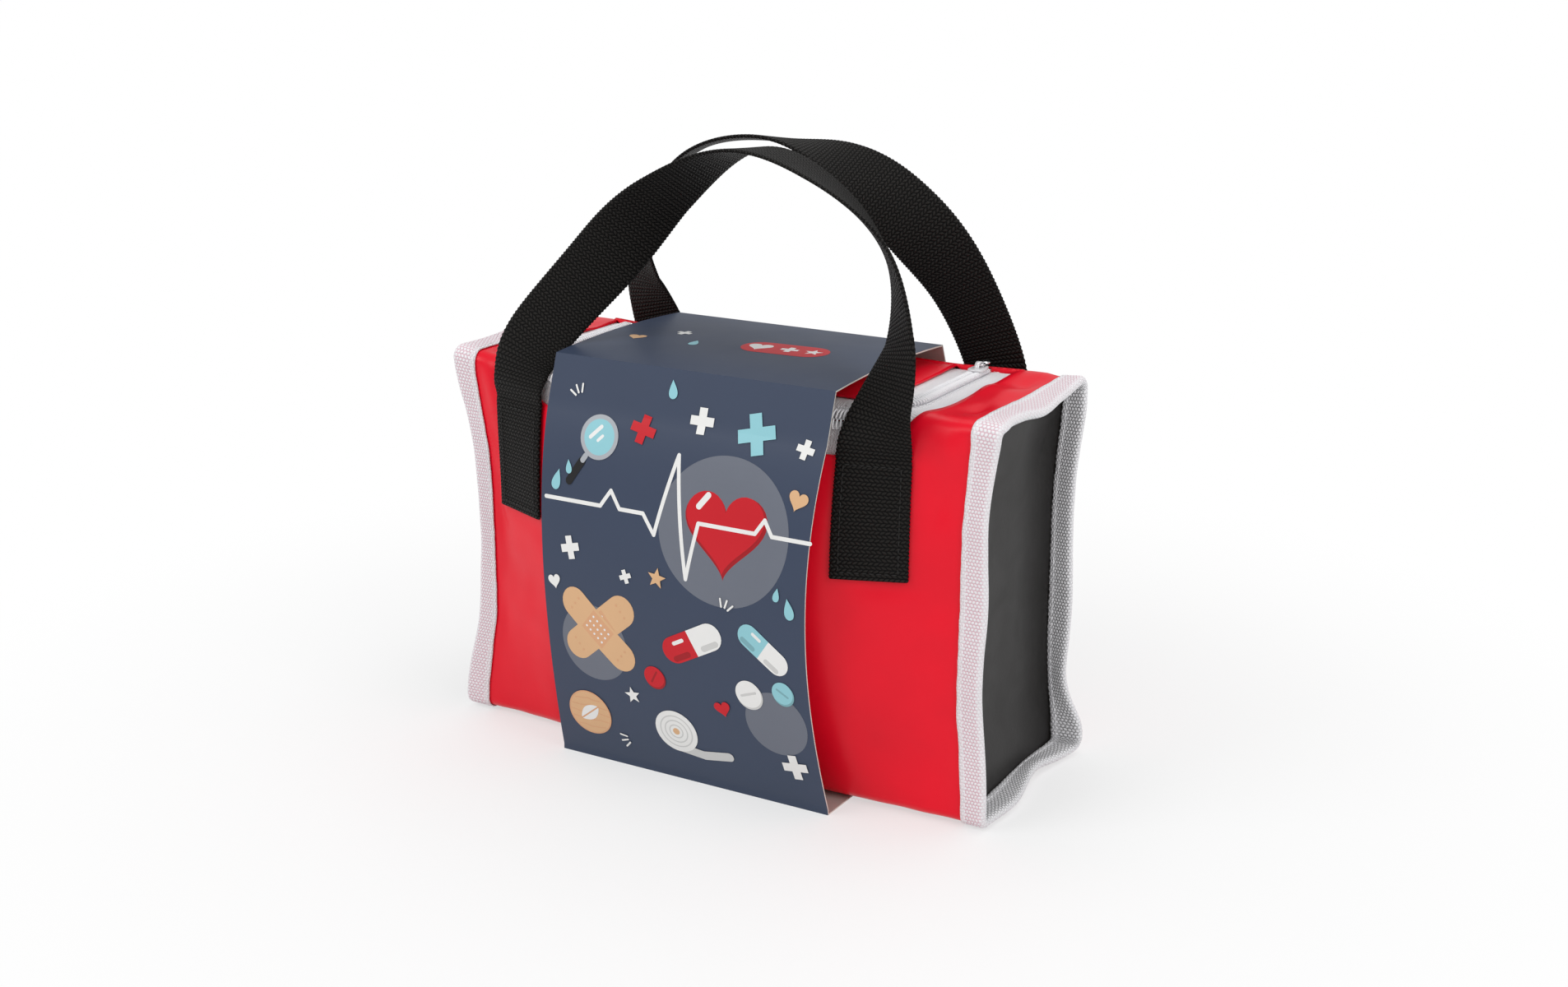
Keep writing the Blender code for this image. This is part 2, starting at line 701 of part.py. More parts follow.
def make_pull():
    """Short pull whose cross bar lies under the slider's bridge."""
    place = slider_place()
    room = BRIDGE_H - BRIDGE_POST_L / 2 - SLIDER_PLATE / 2
    axis = SLIDER_PLAY + SLIDER_PLATE + room / 2
    hinge = place + Vector((0, 0, axis))
    wall = (PULL_W - SLIDER_NECK_W) / 2 - GAP
    eye_l = BRIDGE_L / 2 + PULL_EYE_PLAY + PULL_EYE_R
    bm = bmesh.new()
    box(bm, (0, 0, 0), (PULL_W, 2 * BRIDGE_PIN_R, 2 * BRIDGE_PIN_R))
    pull = object_from_bmesh("zipper_pull", bm, "zip_metal")
    pull.location = hinge
    pieces = {
        "pull_cheek_left": ((-(PULL_W - wall) / 2, eye_l / 2, 0), (wall, eye_l, PULL_T)),
        "pull_cheek_right": (((PULL_W - wall) / 2, eye_l / 2, 0), (wall, eye_l, PULL_T)),
        "pull_tab": ((0, (eye_l + PULL_L - PULL_EYE_R) / 2, 0), (PULL_W, PULL_L - eye_l + PULL_EYE_R, PULL_T)),
    }
    for name, (centre, size) in pieces.items():
        bm = bmesh.new()
        box(bm, centre, size)
        tool = object_from_bmesh(name, bm, "zip_metal")
        tool.location = hinge
        union(pull, tool)


def make_zip_stops():
    """Crimped end stops just past both ends of the coil."""
    for name, side in (("left", -1), ("right", 1)):
        s = top_length(ZIP_SIDE_X) - STOP_INSET
        point = lifted(top_point, side * ZIP_SIDE_X, s, STOP_T / 2 + COIL_GAP - FABRIC - TAPE_GAP)
        bm = bmesh.new()
        box(bm, (0, 0, 0), (2 * COIL_W, STOP_L, STOP_T))
        object_from_bmesh("zipper_stop_" + name, bm, "zip_metal").location = point


def front_face(x, z):
    """Front of the case at a place that the waist doesn't move."""
    z -= BASE_Z
    return skin(x + waist(x, z), -HALF_D, z)


def back_face(x, z):
    """Back of the case at a place that the waist doesn't move."""
    z -= BASE_Z
    return skin(x + waist(x, z), HALF_D, z)


def make_strap_foot(name, face, x):
    """Sewn end of a handle, flat on its panel."""
    bm = bmesh.new()

    def place(u, v):
        z = FOOT_BOTTOM + (FOOT_TOP - FOOT_BOTTOM) * v
        return lifted(face, x + STRAP_W * (u - 0.5), z, FOOT_GAP + STRAP_T)

    sheet(bm, STRAP_CELLS, 4, place)
    return close_sheet(name, bm, "black_webbing", STRAP_T, -1)


def smooth_row(rows, share):
    """Reads a table of rows at a share of its length, on a smooth curve through them."""
    place = min(share * (len(rows) - 1), len(rows) - 1 - GAP)
    index = int(place)
    t = place - index
    before = rows[index - 1] if index else [2 * a - b for a, b in zip(rows[0], rows[1])]
    start, end = rows[index], rows[index + 1]
    after = rows[index + 2] if index + 2 < len(rows) else [2 * a - b for a, b in zip(rows[-1], rows[-2])]
    row = []
    for a, b, c, d in zip(before, start, end, after):
        row.append((2 * b + (c - a) * t + (2 * a - 5 * b + 4 * c - d) * t * t
                    + (3 * b - a - 3 * c + d) * t ** 3) / 2)
    return row


def make_arch(name, face, shares, span, shift, way):
    """Free arch of a handle: a twisting ribbon between its two top stitch lines."""
    foot = [lifted(face, shift + side * span / 2, FOOT_TOP, FOOT_GAP + STRAP_T / 2) for side in (-1, 1)]
    # The webbing folds outwards over its sewn ends, so it turns about the outermost place of their faces
    tops = [lifted(face, place.x + STRAP_W * share, FOOT_TOP, FOOT_GAP + STRAP_T)
            for place in foot for share in (-0.5, 0, 0.5)]
    outermost = max(way * top.y for top in tops) + FOLD_GAP
    hinge = Vector((0, way * outermost, FOOT_TOP + STITCH_GAP / 2))
    crown_y = way * (STRAP_W + CROWN_GAP) / 2

    def centre(share):
        across, lean, rise, _ = smooth_row(shares, share)
        foot_y = foot[0].y + (foot[1].y - foot[0].y) * share
        return Vector((shift + across * span / 2, foot_y + (crown_y - foot_y) * lean,
                       FOOT_TOP + STITCH_GAP + ARCH_RISE * rise))

    def place(u, v):
        step = 1 / (4 * N_ARCH)
        tangent = (centre(min(1, v + step)) - centre(max(0, v - step))).normalized()
        side = tangent.cross(Vector((0, -1, 0))).normalized()
        depth = Vector((0, 1, 0))
        depth = (depth - tangent * tangent.dot(depth)).normalized()
        row = smooth_row(shares, v)
        twist = row[3] * math.pi / 2
        width = side * math.cos(twist) - depth * (way * math.sin(twist))
        free = width * (STRAP_W * (u - 0.5))
        # Near its stitch line the ribbon keeps the curve of the panel that it is sewn to
        near = 0 if v < 0.5 else 1
        turn = 1 if near == 0 else -1
        edge = lifted(face, foot[near].x + turn * STRAP_W * (u - 0.5), FOOT_TOP, FOOT_GAP + STRAP_T / 2)
        held = edge - foot[near]
        return centre(v) + held + (free - held) * ramp(row[2] / FLARE_RISE) - hinge

    bm = bmesh.new()
    sheet(bm, STRAP_CELLS, N_ARCH, place)
    bmesh.ops.recalc_face_normals(bm, faces=bm.faces)
    arch = object_from_bmesh(name, bm, "black_webbing")
    arch.location = hinge
    add_solidify(arch, STRAP_T, 0)
    return arch


def make_handles():
    for name, face, span, shift in (("front", front_face, FRONT_SPAN, FRONT_SHIFT),
                                    ("back", back_face, BACK_SPAN, BACK_SHIFT)):
        make_strap_foot(name + "_strap_foot_left", face, shift - span / 2)
        make_strap_foot(name + "_strap_foot_right", face, shift + span / 2)
    make_arch("front_handle_arch", front_face, FRONT_ARCH_SHARES, FRONT_SPAN, FRONT_SHIFT, -1)
    make_arch("back_handle_arch", back_face, BACK_ARCH_SHARES, BACK_SPAN, BACK_SHIFT, 1)


def sleeve_front(z):
    """Outer face of the sleeve's front: the belly of the case plus the ease that grows to the floor."""
    rise = max(0, (z - BASE_Z) / CASE_H)
    belly = HALF_D + FRONT_BULGE * cubic(FRONT_BULGE_SHARES, rise)
    return -(belly + CARD + SLEEVE_EASE + SLEEVE_FRONT_EASE * (1 - rise) ** 3)


def sleeve_back(z):
    rise = max(0, (z - BASE_Z) / CASE_H)
    belly = HALF_D + back_belly(rise, 1, 1)
    return belly + CARD + SLEEVE_EASE + SLEEVE_BACK_EASE * (1 - rise) ** 3


def sleeve_profile(share):
    """Outer face of the board from the glued flap's cover layer round to the end of the flap."""
    low, flap_z = 0, CARD + GAP
    front_low, back_low = sleeve_front(low), sleeve_back(low)
    top_mid = (SLEEVE_TOP_FRONT_Y + SLEEVE_TOP_BACK_Y) / 2

    def rise_front(t):
        z = low + (SLEEVE_STRAIGHT_Z - low) * t
        return sleeve_front(z), z

    def over_top(t):
        y = SLEEVE_TOP_FRONT_Y + (SLEEVE_TOP_BACK_Y - SLEEVE_TOP_FRONT_Y) * t
        half = SLEEVE_TOP_BACK_Y - top_mid
        return y, SLEEVE_TOP_Z + SLEEVE_TOP_ARCH * (1 - ((y - top_mid) / half) ** 2)

    def down_back(t):
        z = SLEEVE_STRAIGHT_Z + (flap_z - SLEEVE_STRAIGHT_Z) * t
        return sleeve_back(z), z

    stops = (
        (N_FLOOR, line(back_low, low, front_low, low)),
        (2 * N_FRONT, rise_front),
        (1, line(sleeve_front(SLEEVE_STRAIGHT_Z), SLEEVE_STRAIGHT_Z, SLEEVE_TOP_FRONT_Y, SLEEVE_TOP_Z)),
        (N_FLOOR + 1, over_top),
        (1, line(SLEEVE_TOP_BACK_Y, SLEEVE_TOP_Z, sleeve_back(SLEEVE_STRAIGHT_Z), SLEEVE_STRAIGHT_Z)),
        (2 * N_BACK, down_back),
        (1, line(sleeve_back(flap_z), flap_z, sleeve_back(flap_z) - SLEEVE_FLAP, flap_z)),
    )
    return walk(stops, share)


SLEEVE_STEPS = 2 * N_FLOOR + 2 * N_FRONT + 2 * N_BACK + 4


def make_sleeve():
    bm = bmesh.new()

    def place(u, v):
        y, z = sleeve_profile(v)
        return Vector((SLEEVE_SHIFT + SLEEVE_W * (u - 0.5), y, z))

    sheet(bm, 1, SLEEVE_STEPS, place)
    return close_sheet("sleeve_card", bm, "slate_card", CARD, -1)


def turned(name, profile, material, place, axis):
    """Turned piece: profile of (distance along, radius) from one end to the other, as a Screw."""
    mesh = bpy.data.meshes.new(name)
    points = [(radius, 0, -along) for along, radius in profile]
    edges = [(i, i + 1) for i in range(len(points) - 1)]
    mesh.from_pydata(points, edges, [])
    obj = new_object(name, mesh, material)
    screw = obj.modifiers.new("Turn", "SCREW")
    screw.steps = ROUND
    screw.render_steps = ROUND
    screw.use_merge_vertices = True
    screw.merge_threshold = FABRIC / 100
    obj.location = place
    obj.rotation_mode = "QUATERNION"
    obj.rotation_quaternion = Vector(axis).to_track_quat("-Z", "Y")
    return obj


def solid_profile(*points):
    """Closes a turned profile on the axis at both ends."""
    return ((points[0][0], 0), *points, (points[-1][0], 0))


def make_bottle():
    y = -HALF_D + FABRIC + TOOL_SPACE + BOTTLE_R
    x = -HALF_W + FABRIC + END_PANEL_DISH + 2 * TOOL_SPACE + WAIST_LEFT
    start = Vector((x, y, FLOOR_Z + BOTTLE_R))
    body_l = BOTTLE_L - BOTTLE_SHOULDER_L - BOTTLE_NECK_L
    edge = BOTTLE_R / 8
    turned("bottle_body", solid_profile(
        (0, BOTTLE_R - edge), (edge, BOTTLE_R), (body_l, BOTTLE_R),
        (body_l + BOTTLE_SHOULDER_L / 2, (BOTTLE_R + BOTTLE_NECK_R) / 2 + edge),
        (body_l + BOTTLE_SHOULDER_L, BOTTLE_NECK_R), (BOTTLE_L, BOTTLE_NECK_R)),
        "turquoise_paint", start, (1, 0, 0))
    edge = BOTTLE_CAP_L / 8
    turned("bottle_cap", solid_profile(
        (0, BOTTLE_CAP_R), (BOTTLE_CAP_L - edge, BOTTLE_CAP_R), (BOTTLE_CAP_L, BOTTLE_CAP_R - edge)),
        "white_paint", start + Vector((BOTTLE_L + GAP, 0, 0)), (1, 0, 0))
    return start.x + BOTTLE_L + GAP + BOTTLE_CAP_L


def make_otoscope(after_x):
    y = -HALF_D + FABRIC + TOOL_SPACE + OTOSCOPE_HEAD_R
    start = Vector((after_x + TOOL_SPACE, y, FLOOR_Z + OTOSCOPE_HEAD_R))
    turned("otoscope_head", solid_profile(
        (0, OTOSCOPE_HEAD_R / 3), (OTOSCOPE_HEAD_L / 3, OTOSCOPE_HEAD_R / 2),
        (OTOSCOPE_HEAD_L * OTOSCOPE_BELL_SHARE, OTOSCOPE_HEAD_R), (OTOSCOPE_HEAD_L, OTOSCOPE_HEAD_R)),
        "red_paint", start, (1, 0, 0))
    turned("otoscope_grip", solid_profile(
        (0, OTOSCOPE_GRIP_R), (OTOSCOPE_GRIP_L / 2, OTOSCOPE_GRIP_R),
        (OTOSCOPE_GRIP_L * BUTT_START_SHARE, OTOSCOPE_BUTT_R), (OTOSCOPE_GRIP_L, OTOSCOPE_BUTT_R * BUTT_END_SHARE)),
        "wood", start + Vector((OTOSCOPE_HEAD_L + GAP, 0, 0)), (1, 0, 0))
    return start


def make_syringe(x):
    """Barrel with a real bore; the plunger slides in it."""
    y = -HALF_D + FABRIC + 3 * TOOL_SPACE + 2 * BOTTLE_R + SYRINGE_FLANGE_R
    start = Vector((x, y, FLOOR_Z + SYRINGE_FLANGE_R))
    bore = SYRINGE_R - SYRINGE_WALL
    end = SYRINGE_L - SYRINGE_NOSE_L - SYRINGE_WALL
    turned("syringe_barrel", (
        (end, 0), (end, bore), (0, bore), (0, SYRINGE_FLANGE_R), (SYRINGE_FLANGE_T, SYRINGE_FLANGE_R),
        (SYRINGE_FLANGE_T, SYRINGE_R), (SYRINGE_L - SYRINGE_NOSE_L, SYRINGE_R),
        (SYRINGE_L, SYRINGE_TIP_R), (SYRINGE_L + SYRINGE_TIP_L, SYRINGE_TIP_R), (SYRINGE_L + SYRINGE_TIP_L, 0)),
        "white_paint", start, (1, 0, 0))
    head = bore - PLUNGER_PLAY
    drawn = SYRINGE_TRAVEL + PLUNGER_PLAY
    turned("syringe_plunger", solid_profile(
        (-drawn - PLUNGER_KNOB_T, PLUNGER_KNOB_R), (-drawn, PLUNGER_KNOB_R), (-drawn, PLUNGER_ROD_R),
        (end - drawn - PLUNGER_HEAD_L, PLUNGER_ROD_R), (end - drawn - PLUNGER_HEAD_L, head),
        (end - drawn - PLUNGER_PLAY, head)),
        "wood", start, (1, 0, 0))
    return start


def make_hammer():
    y = HALF_D - FABRIC - TOOL_SPACE - HAMMER_HEAD_L / 2
    x = -HALF_W + FABRIC + END_PANEL_DISH + 2 * TOOL_SPACE + HAMMER_HEAD_R
    centre = Vector((x, y, FLOOR_Z + HAMMER_HEAD_R))
    edge = HAMMER_HEAD_L / 10
    head = turned("hammer_head", solid_profile(
        (0, HAMMER_HEAD_R - edge), (edge, HAMMER_HEAD_R), (HAMMER_HEAD_L - edge, HAMMER_HEAD_R),
        (HAMMER_HEAD_L, HAMMER_HEAD_R - edge)),
        "black_paint", centre - Vector((0, HAMMER_HEAD_L / 2, 0)), (0, 1, 0))
    socket = turned("hammer_socket", solid_profile(
        (0, HAMMER_NECK_R + GAP), (HAMMER_HEAD_R, HAMMER_NECK_R + GAP)), "black_paint", centre, (1, 0, 0))
    cut(head, socket)
    # The handle's butt is thicker than its neck and hangs just clear of the floor
    turned("hammer_handle", solid_profile(
        (GAP, HAMMER_NECK_R), (HAMMER_HEAD_R + GAP, HAMMER_NECK_R),
        (HAMMER_HANDLE_L * BUTT_START_SHARE, HAMMER_END_R), (HAMMER_HANDLE_L, HAMMER_END_R * BUTT_END_SHARE)),
        "silver_paint", centre, (1, 0, 0))
    return centre


def plate(name, centre, size, material):
    """Flat board with rounded ends: a 2D outline given its thickness."""
    curve = bpy.data.curves.new(name, "CURVE")
    curve.dimensions = "2D"
    curve.fill_mode = "BOTH"
    length, width, thickness = size
    curve.extrude = thickness / 2
    radius = width / 2
    steps = ROUND // 2
    spline = curve.splines.new("POLY")
    spline.points.add(2 * steps + 1)
    for index in range(2 * (steps + 1)):
        far = 1 if index <= steps else -1
        angle = -math.pi / 2 + math.pi * (index % (steps + 1)) / steps
        spline.points[index].co = (far * (length / 2 - radius + radius * math.cos(angle)),
                                   far * radius * math.sin(angle), 0, 1)
    spline.use_cyclic_u = True
    obj = bpy.data.objects.new(name, curve)
    PARTS.objects.link(obj)
    curve.materials.append(MATERIALS[material])
    obj.location = centre
    return obj


def make_flat_tools(hammer, bottle_top, otoscope):
    """Thermometer beside the hammer, depressor on the bottle and otoscope, plasters in a stack."""
    x = hammer.x + HAMMER_HANDLE_L + TOOL_SPACE + THERMOMETER_L / 2
    y = HALF_D - BOTTOM_FOLD_R - TOOL_SPACE - THERMOMETER_W / 2
    z = FLOOR_Z + THERMOMETER_T / 2
    plate("thermometer_body", (x, y, z), (THERMOMETER_L, THERMOMETER_W, THERMOMETER_T), "white_paint")
    top_x = x + THERMOMETER_L / 2 + GAP + THERMOMETER_TOP_L / 2
    bm = bmesh.new()
    box(bm, (0, 0, 0), (THERMOMETER_TOP_L, THERMOMETER_W, THERMOMETER_T))
    cap = object_from_bmesh("thermometer_cap", bm, "red_paint")
    cap.location = (top_x, y, z)
    z = bottle_top + GAP + DEPRESSOR_T / 2
    plate("tongue_depressor", (otoscope.x, otoscope.y, z), (DEPRESSOR_L, DEPRESSOR_W, DEPRESSOR_T), "wood")
    for index in range(PLASTER_COUNT):
        centre = (-HALF_W + FABRIC + END_PANEL_DISH + 2 * TOOL_SPACE + PLASTER_L / 2,
                  -HALF_D + FABRIC + 3 * TOOL_SPACE + 2 * BOTTLE_R + PLASTER_W / 2,
                  FLOOR_Z + PLASTER_T / 2 + index * (PLASTER_T + GAP))
        plate("plaster_%d" % (index + 1), centre, (PLASTER_L, PLASTER_W, PLASTER_T), "plaster_felt")
    return z + DEPRESSOR_T / 2


def rod(name, points, radius, material):
    """Round rod through a list of points, with flat caps."""
    curve = bpy.data.curves.new(name, "CURVE")
    curve.dimensions = "3D"
    curve.bevel_depth = radius
    curve.bevel_resolution = 2
    curve.use_fill_caps = True
    spline = curve.splines.new("POLY")
    spline.points.add(len(points) - 1)
    for target, point in zip(spline.points, points):
        target.co = (*point, 1)
    obj = bpy.data.objects.new(name, curve)
    PARTS.objects.link(obj)
    curve.materials.append(MATERIALS[material])
    return obj


def make_stethoscope(rest_z):
    """Two bent wooden arms in a hub, two ear tips and a loose chest piece."""
    z = rest_z + GAP + ARM_R
    hub = Vector((ARM_L / 2, 0, z))
    start_x = hub.x - HUB_R - GAP / 2
    for name, way in (("left", -1), ("right", 1)):
        near = ARM_R + TOOL_SPACE
        tip_x = start_x - ARM_L
        spread = ARM_SPREAD / 2
        bend = [(start_x, hub.y + way * near, z), (start_x - ARM_R, hub.y + way * near, z)]
        for step in range(5):
            turn = step / 4 * math.pi / 2
            bend.append((tip_x + ARM_HOOK * (1 - math.sin(turn)),
                         hub.y + way * (spread - ARM_HOOK * (1 - math.cos(turn))), z))
        tip = Vector(bend[-1]) - Vector((0, way * ARM_TIP, 0))
        rod("stethoscope_arm_" + name, [*bend, tuple(tip)], ARM_R, "wood")
        turned("stethoscope_ear_tip_" + name, solid_profile(
            *((EAR_L * along, EAR_R * radius) for along, radius in EAR_SHARES)),
            "red_paint", tip - Vector((0, way * GAP, 0)), (0, -way, 0))
    edge = HUB_T / 10
    turned("stethoscope_hub", solid_profile(
        (0, HUB_R - edge), (edge, HUB_R), (HUB_T - edge, HUB_R), (HUB_T, HUB_R - edge)),
        "red_paint", hub - Vector((0, 0, ARM_R)), (0, 0, 1))


def make_chest_piece():
    stack = PLASTER_COUNT * (PLASTER_T + GAP)
    centre = Vector((-HALF_W + FABRIC + END_PANEL_DISH + 2 * TOOL_SPACE + PLASTER_L / 2,
                     -HALF_D + FABRIC + 3 * TOOL_SPACE + 2 * BOTTLE_R + CHEST_R, FLOOR_Z + stack))
    turned("stethoscope_chest_piece", solid_profile(
        (0, CHEST_R), (CHEST_T / 4, CHEST_R), (CHEST_T / 2, CHEST_WAIST_R), (3 * CHEST_T / 4, CHEST_R),
        (CHEST_T, CHEST_R)), "red_paint", centre, (0, 0, 1))


def make_tools():
    bottle_end = make_bottle()
    otoscope = make_otoscope(bottle_end)
    make_syringe(-HALF_W + PLASTER_L + SYRINGE_TRAVEL + 2 * PLUNGER_KNOB_T + 4 * TOOL_SPACE)
    hammer = make_hammer()
    tool_top = make_flat_tools(hammer, FLOOR_Z + 2 * BOTTLE_R, otoscope)
    make_stethoscope(tool_top)
    make_chest_piece()


def main():
    make_body_wrap()
    make_lid_panel()
    make_end_panel("end_panel_left", -1)
    make_end_panel("end_panel_right", 1)
    make_binding("binding_left", -1)
    make_binding("binding_right", 1)
    make_zip()
    make_slider()
    make_pull()
    make_zip_stops()
    make_handles()
    make_sleeve()
    make_tools()


clear_scene()
PARTS = bpy.data.collections.new("toy_doctor_case")
CUTTERS = bpy.data.collections.new("cutters")
bpy.context.scene.collection.children.link(PARTS)
bpy.context.scene.collection.children.link(CUTTERS)
MATERIALS = {name: make_material(name) for name in COLOURS}
main()
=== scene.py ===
"""Looks of the toy doctor case: coated cloth, webbing handles, coil zip, printed card sleeve and play tools.

The pieces follow the same named sizes as the solids of the frame, in metres, with the case standing
on z = 0, its front towards -Y and its right end towards +X.
"""
import math

import bmesh
import bpy
from bpy.props import FloatProperty, FloatVectorProperty, PointerProperty
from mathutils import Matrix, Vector, noise


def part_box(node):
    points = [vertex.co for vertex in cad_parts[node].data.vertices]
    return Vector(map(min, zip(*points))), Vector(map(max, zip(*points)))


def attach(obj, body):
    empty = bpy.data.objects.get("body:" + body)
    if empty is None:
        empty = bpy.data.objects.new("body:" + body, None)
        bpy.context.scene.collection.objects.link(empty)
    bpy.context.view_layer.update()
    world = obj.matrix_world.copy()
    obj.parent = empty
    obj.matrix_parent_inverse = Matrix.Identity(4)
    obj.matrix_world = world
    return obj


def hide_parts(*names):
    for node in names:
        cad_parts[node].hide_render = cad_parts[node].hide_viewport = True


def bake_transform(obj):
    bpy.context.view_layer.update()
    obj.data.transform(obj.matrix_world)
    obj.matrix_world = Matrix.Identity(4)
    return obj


bl_info = {
    "name": "Toy doctor case",
    "version": (1, 0, 0),
    "blender": (4, 5, 0),
    "location": "3D View > Sidebar > Doctor case",
    "description": "Builds a soft toy doctor case with its zip, handles, card sleeve and stage",
    "category": "Object",
}

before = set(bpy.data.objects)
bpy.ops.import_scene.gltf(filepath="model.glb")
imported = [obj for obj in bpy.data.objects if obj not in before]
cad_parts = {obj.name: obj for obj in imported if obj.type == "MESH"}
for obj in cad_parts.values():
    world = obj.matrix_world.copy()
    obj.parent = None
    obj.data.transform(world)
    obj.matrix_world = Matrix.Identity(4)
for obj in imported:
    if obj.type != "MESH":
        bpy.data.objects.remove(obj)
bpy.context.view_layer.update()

# Lengths are in metres
MM = 0.001

# Case, as in the solids
CASE_W, CASE_D, CASE_H = 0.240, 0.094, 0.1687
HALF_W, HALF_D = CASE_W / 2, CASE_D / 2
FABRIC = 0.0010
FLANGE = 0.0100
EDGE_X = HALF_W + FLANGE
GAP = 0.0003
LAYER_GAP = 0.0005
SEAM_GAP = 0.0008
CARD = 0.0006
BASE_Z = 2 * (CARD + GAP)
BACK_FOLD_R, BOTTOM_FOLD_R = 0.0060, 0.0050
END_SHOULDER_R, MID_SHOULDER_R = 0.0050, 0.0140
FRONT_BULGE, BACK_BULGE = 0.0315, 0.0180
FRONT_BULGE_SHARES = (0.10, 1.05, 1.35, 0.40)
BACK_BULGE_SHARES = (0.10, 1.10, 0.95, 0.20)
BACK_TUCK, TUCK_HALF_W, TUCK_RISE = 0.0144, 0.0710, 4
TOP_CROWN, CROWN_FALL, CROWN_FLATNESS = 0.0035, 4, 16
BULGE_FALL = 1.2
TOP_BAND = 0.0300
END_DISH = 0.0015
END_DISH_SHARE = 0.6
WAIST_LEFT, WAIST_RIGHT, WAIST_RAMP_SHARE = 0.0065, 0.0030, 0.35

# Zip
ZIP_SIDE_X = 0.0900
ZIP_CORNER_R = 0.0240
ZIP_FRONT_DROP = 0.0255
ZIP_TAPE_W = 0.0125
ZIP_EDGE_X = ZIP_SIDE_X + ZIP_TAPE_W
ZIP_TAPE_T = 0.0006
TAPE_GAP = 0.0008

# Handles
FOOT_BOTTOM, FOOT_TOP = 0.1045, 0.1530
FOOT_GAP, STITCH_GAP = 0.0005, 0.0010
FLARE_RISE = 0.20
ARCH_RISE = 0.1095
CROWN_GAP = 0.0018
FRONT_SPAN, FRONT_SHIFT = 0.1735, -0.0042
BACK_SPAN, BACK_SHIFT = 0.1698, 0.0032
FRONT_ARCH_SHARES = (
    (-1.000, 0.00, 0.00, 0.00), (-0.995, -0.01, 0.09, 0.00), (-0.925, 0.11, 0.25, 0.00),
    (-0.680, 0.50, 0.52, 0.12), (-0.345, 0.80, 0.82, 0.62), (0.050, 1.00, 1.00, 0.95),
    (0.500, 0.87, 0.915, 0.88), (0.900, 0.58, 0.70, 0.64), (1.055, 0.27, 0.41, 0.46),
    (1.020, 0.00, 0.12, 0.12), (1.000, 0.00, 0.00, 0.00))
BACK_ARCH_SHARES = (
    (-1.000, 0.00, 0.00, 0.00), (-1.000, 0.00, 0.11, 0.03), (-1.075, 0.18, 0.39, 0.30),
    (-0.940, 0.52, 0.70, 0.67), (-0.560, 0.85, 0.945, 0.94), (-0.080, 1.00, 1.010, 1.10),
    (0.300, 0.86, 0.935, 0.80), (0.590, 0.58, 0.74, 0.40), (0.820, 0.22, 0.49, 0.04),
    (0.985, -0.03, 0.18, -0.05), (1.000, 0.00, 0.00, 0.00))
STRAP_CELLS, ARCH_STEPS, FOOT_STEPS = 22, 420, 50
EDGE_THIN, EDGE_SCALLOP_SHARE = 0.8, 0.7
RIB_OUT, RIB_IN, RIB_HEIGHT = 0.00030, -0.00010, 0.00007

# Card sleeve
SLEEVE_W, SLEEVE_SHIFT = 0.1343, 0.0005
SLEEVE_EASE, SLEEVE_FRONT_EASE, SLEEVE_BACK_EASE = 0.0006, 0.0120, 0.0040
SLEEVE_TOP_Z, SLEEVE_TOP_ARCH = 0.1795, 0.0018
SLEEVE_TOP_FRONT_Y, SLEEVE_TOP_BACK_Y = -0.0595, 0.0350
SLEEVE_STRAIGHT_Z = 0.1590
SLEEVE_FLAP = 0.0150
SLEEVE_BOW_LEFT, SLEEVE_BOW_RIGHT, SLEEVE_BOW_REACH = 0.0050, 0.0020, 0.0300
SLEEVE_FALL = 3
CREASE_ANGLE = math.radians(25)

# Sampling counts
NX = 96
N_BACK, N_FLOOR, N_FRONT, N_FOLD = 56, 24, 48, 8
N_RISE, N_TOP = 10, 30
N_SIDE = N_RISE + N_FOLD + N_TOP
STRIP_CELLS = 8
N_ZIP = 220
LID_CELLS = 110, 56
LIP_CELLS, SLOPE_CELLS, FLAT_CELLS = 8, 14, 14
BINDING_LEG, BINDING_TURN = 9, 6
TAPE_CELLS, COIL_STEPS = 20, 10
SLEEVE_CELLS, SLEEVE_TALL, SLEEVE_FLOOR, SLEEVE_TOP, SLEEVE_CREASE, SLEEVE_FLAP_CELLS = 24, 64, 20, 30, 6, 4

# Soft edges: how far they fade past the seam, near the profile's corners, the sleeve and the strap ends
SEAM_FADE, CORNER_FADE = 4 * MM, 6 * MM
NOISE_CUT = 3
FLOOR_ZONE, FLOOR_SHARE, FLOOR_CLEAR = 12 * MM, 0.15, 0.4 * MM
FLANGE_NOISE, FLANGE_OCTAVE = 26, 3.1
FOLD_LOSS = 0.5
PUCKER_REACH, PUCKER_HEIGHT, PUCKER_NOISE = 14 * MM, 1.2 * MM, 75
DENT_NOISE, FINE_DENT_NOISE, FINE_DENT_SHARE = 38, 95, 0.35
SLEEVE_FREE_X, SLEEVE_FADE = 69 * MM, 9 * MM
DENT_INSIDE, DENT_FADE = 1.5 * MM, 6 * MM
FOOT_X, FOOT_REACH, FOOT_FADE = 88 * MM, 17 * MM, 4 * MM
FOOT_LOW, FOOT_LOW_FADE, FOOT_HIGH, FOOT_HIGH_FADE = 96 * MM, 6 * MM, 160 * MM, 8 * MM
FOOT_END, WALL_Y = 172 * MM, 40 * MM
LID_FREE_X, LID_FADE, LID_WAVE, LID_NOISE = 66 * MM, 5 * MM, 0.5 * MM, 70
END_WAVE, END_NOISE_Y, END_NOISE_Z, END_FADE = 1.1 * MM, 30, 24, 8
BINDING_WAVE, BINDING_NOISE = 0.35 * MM, 160

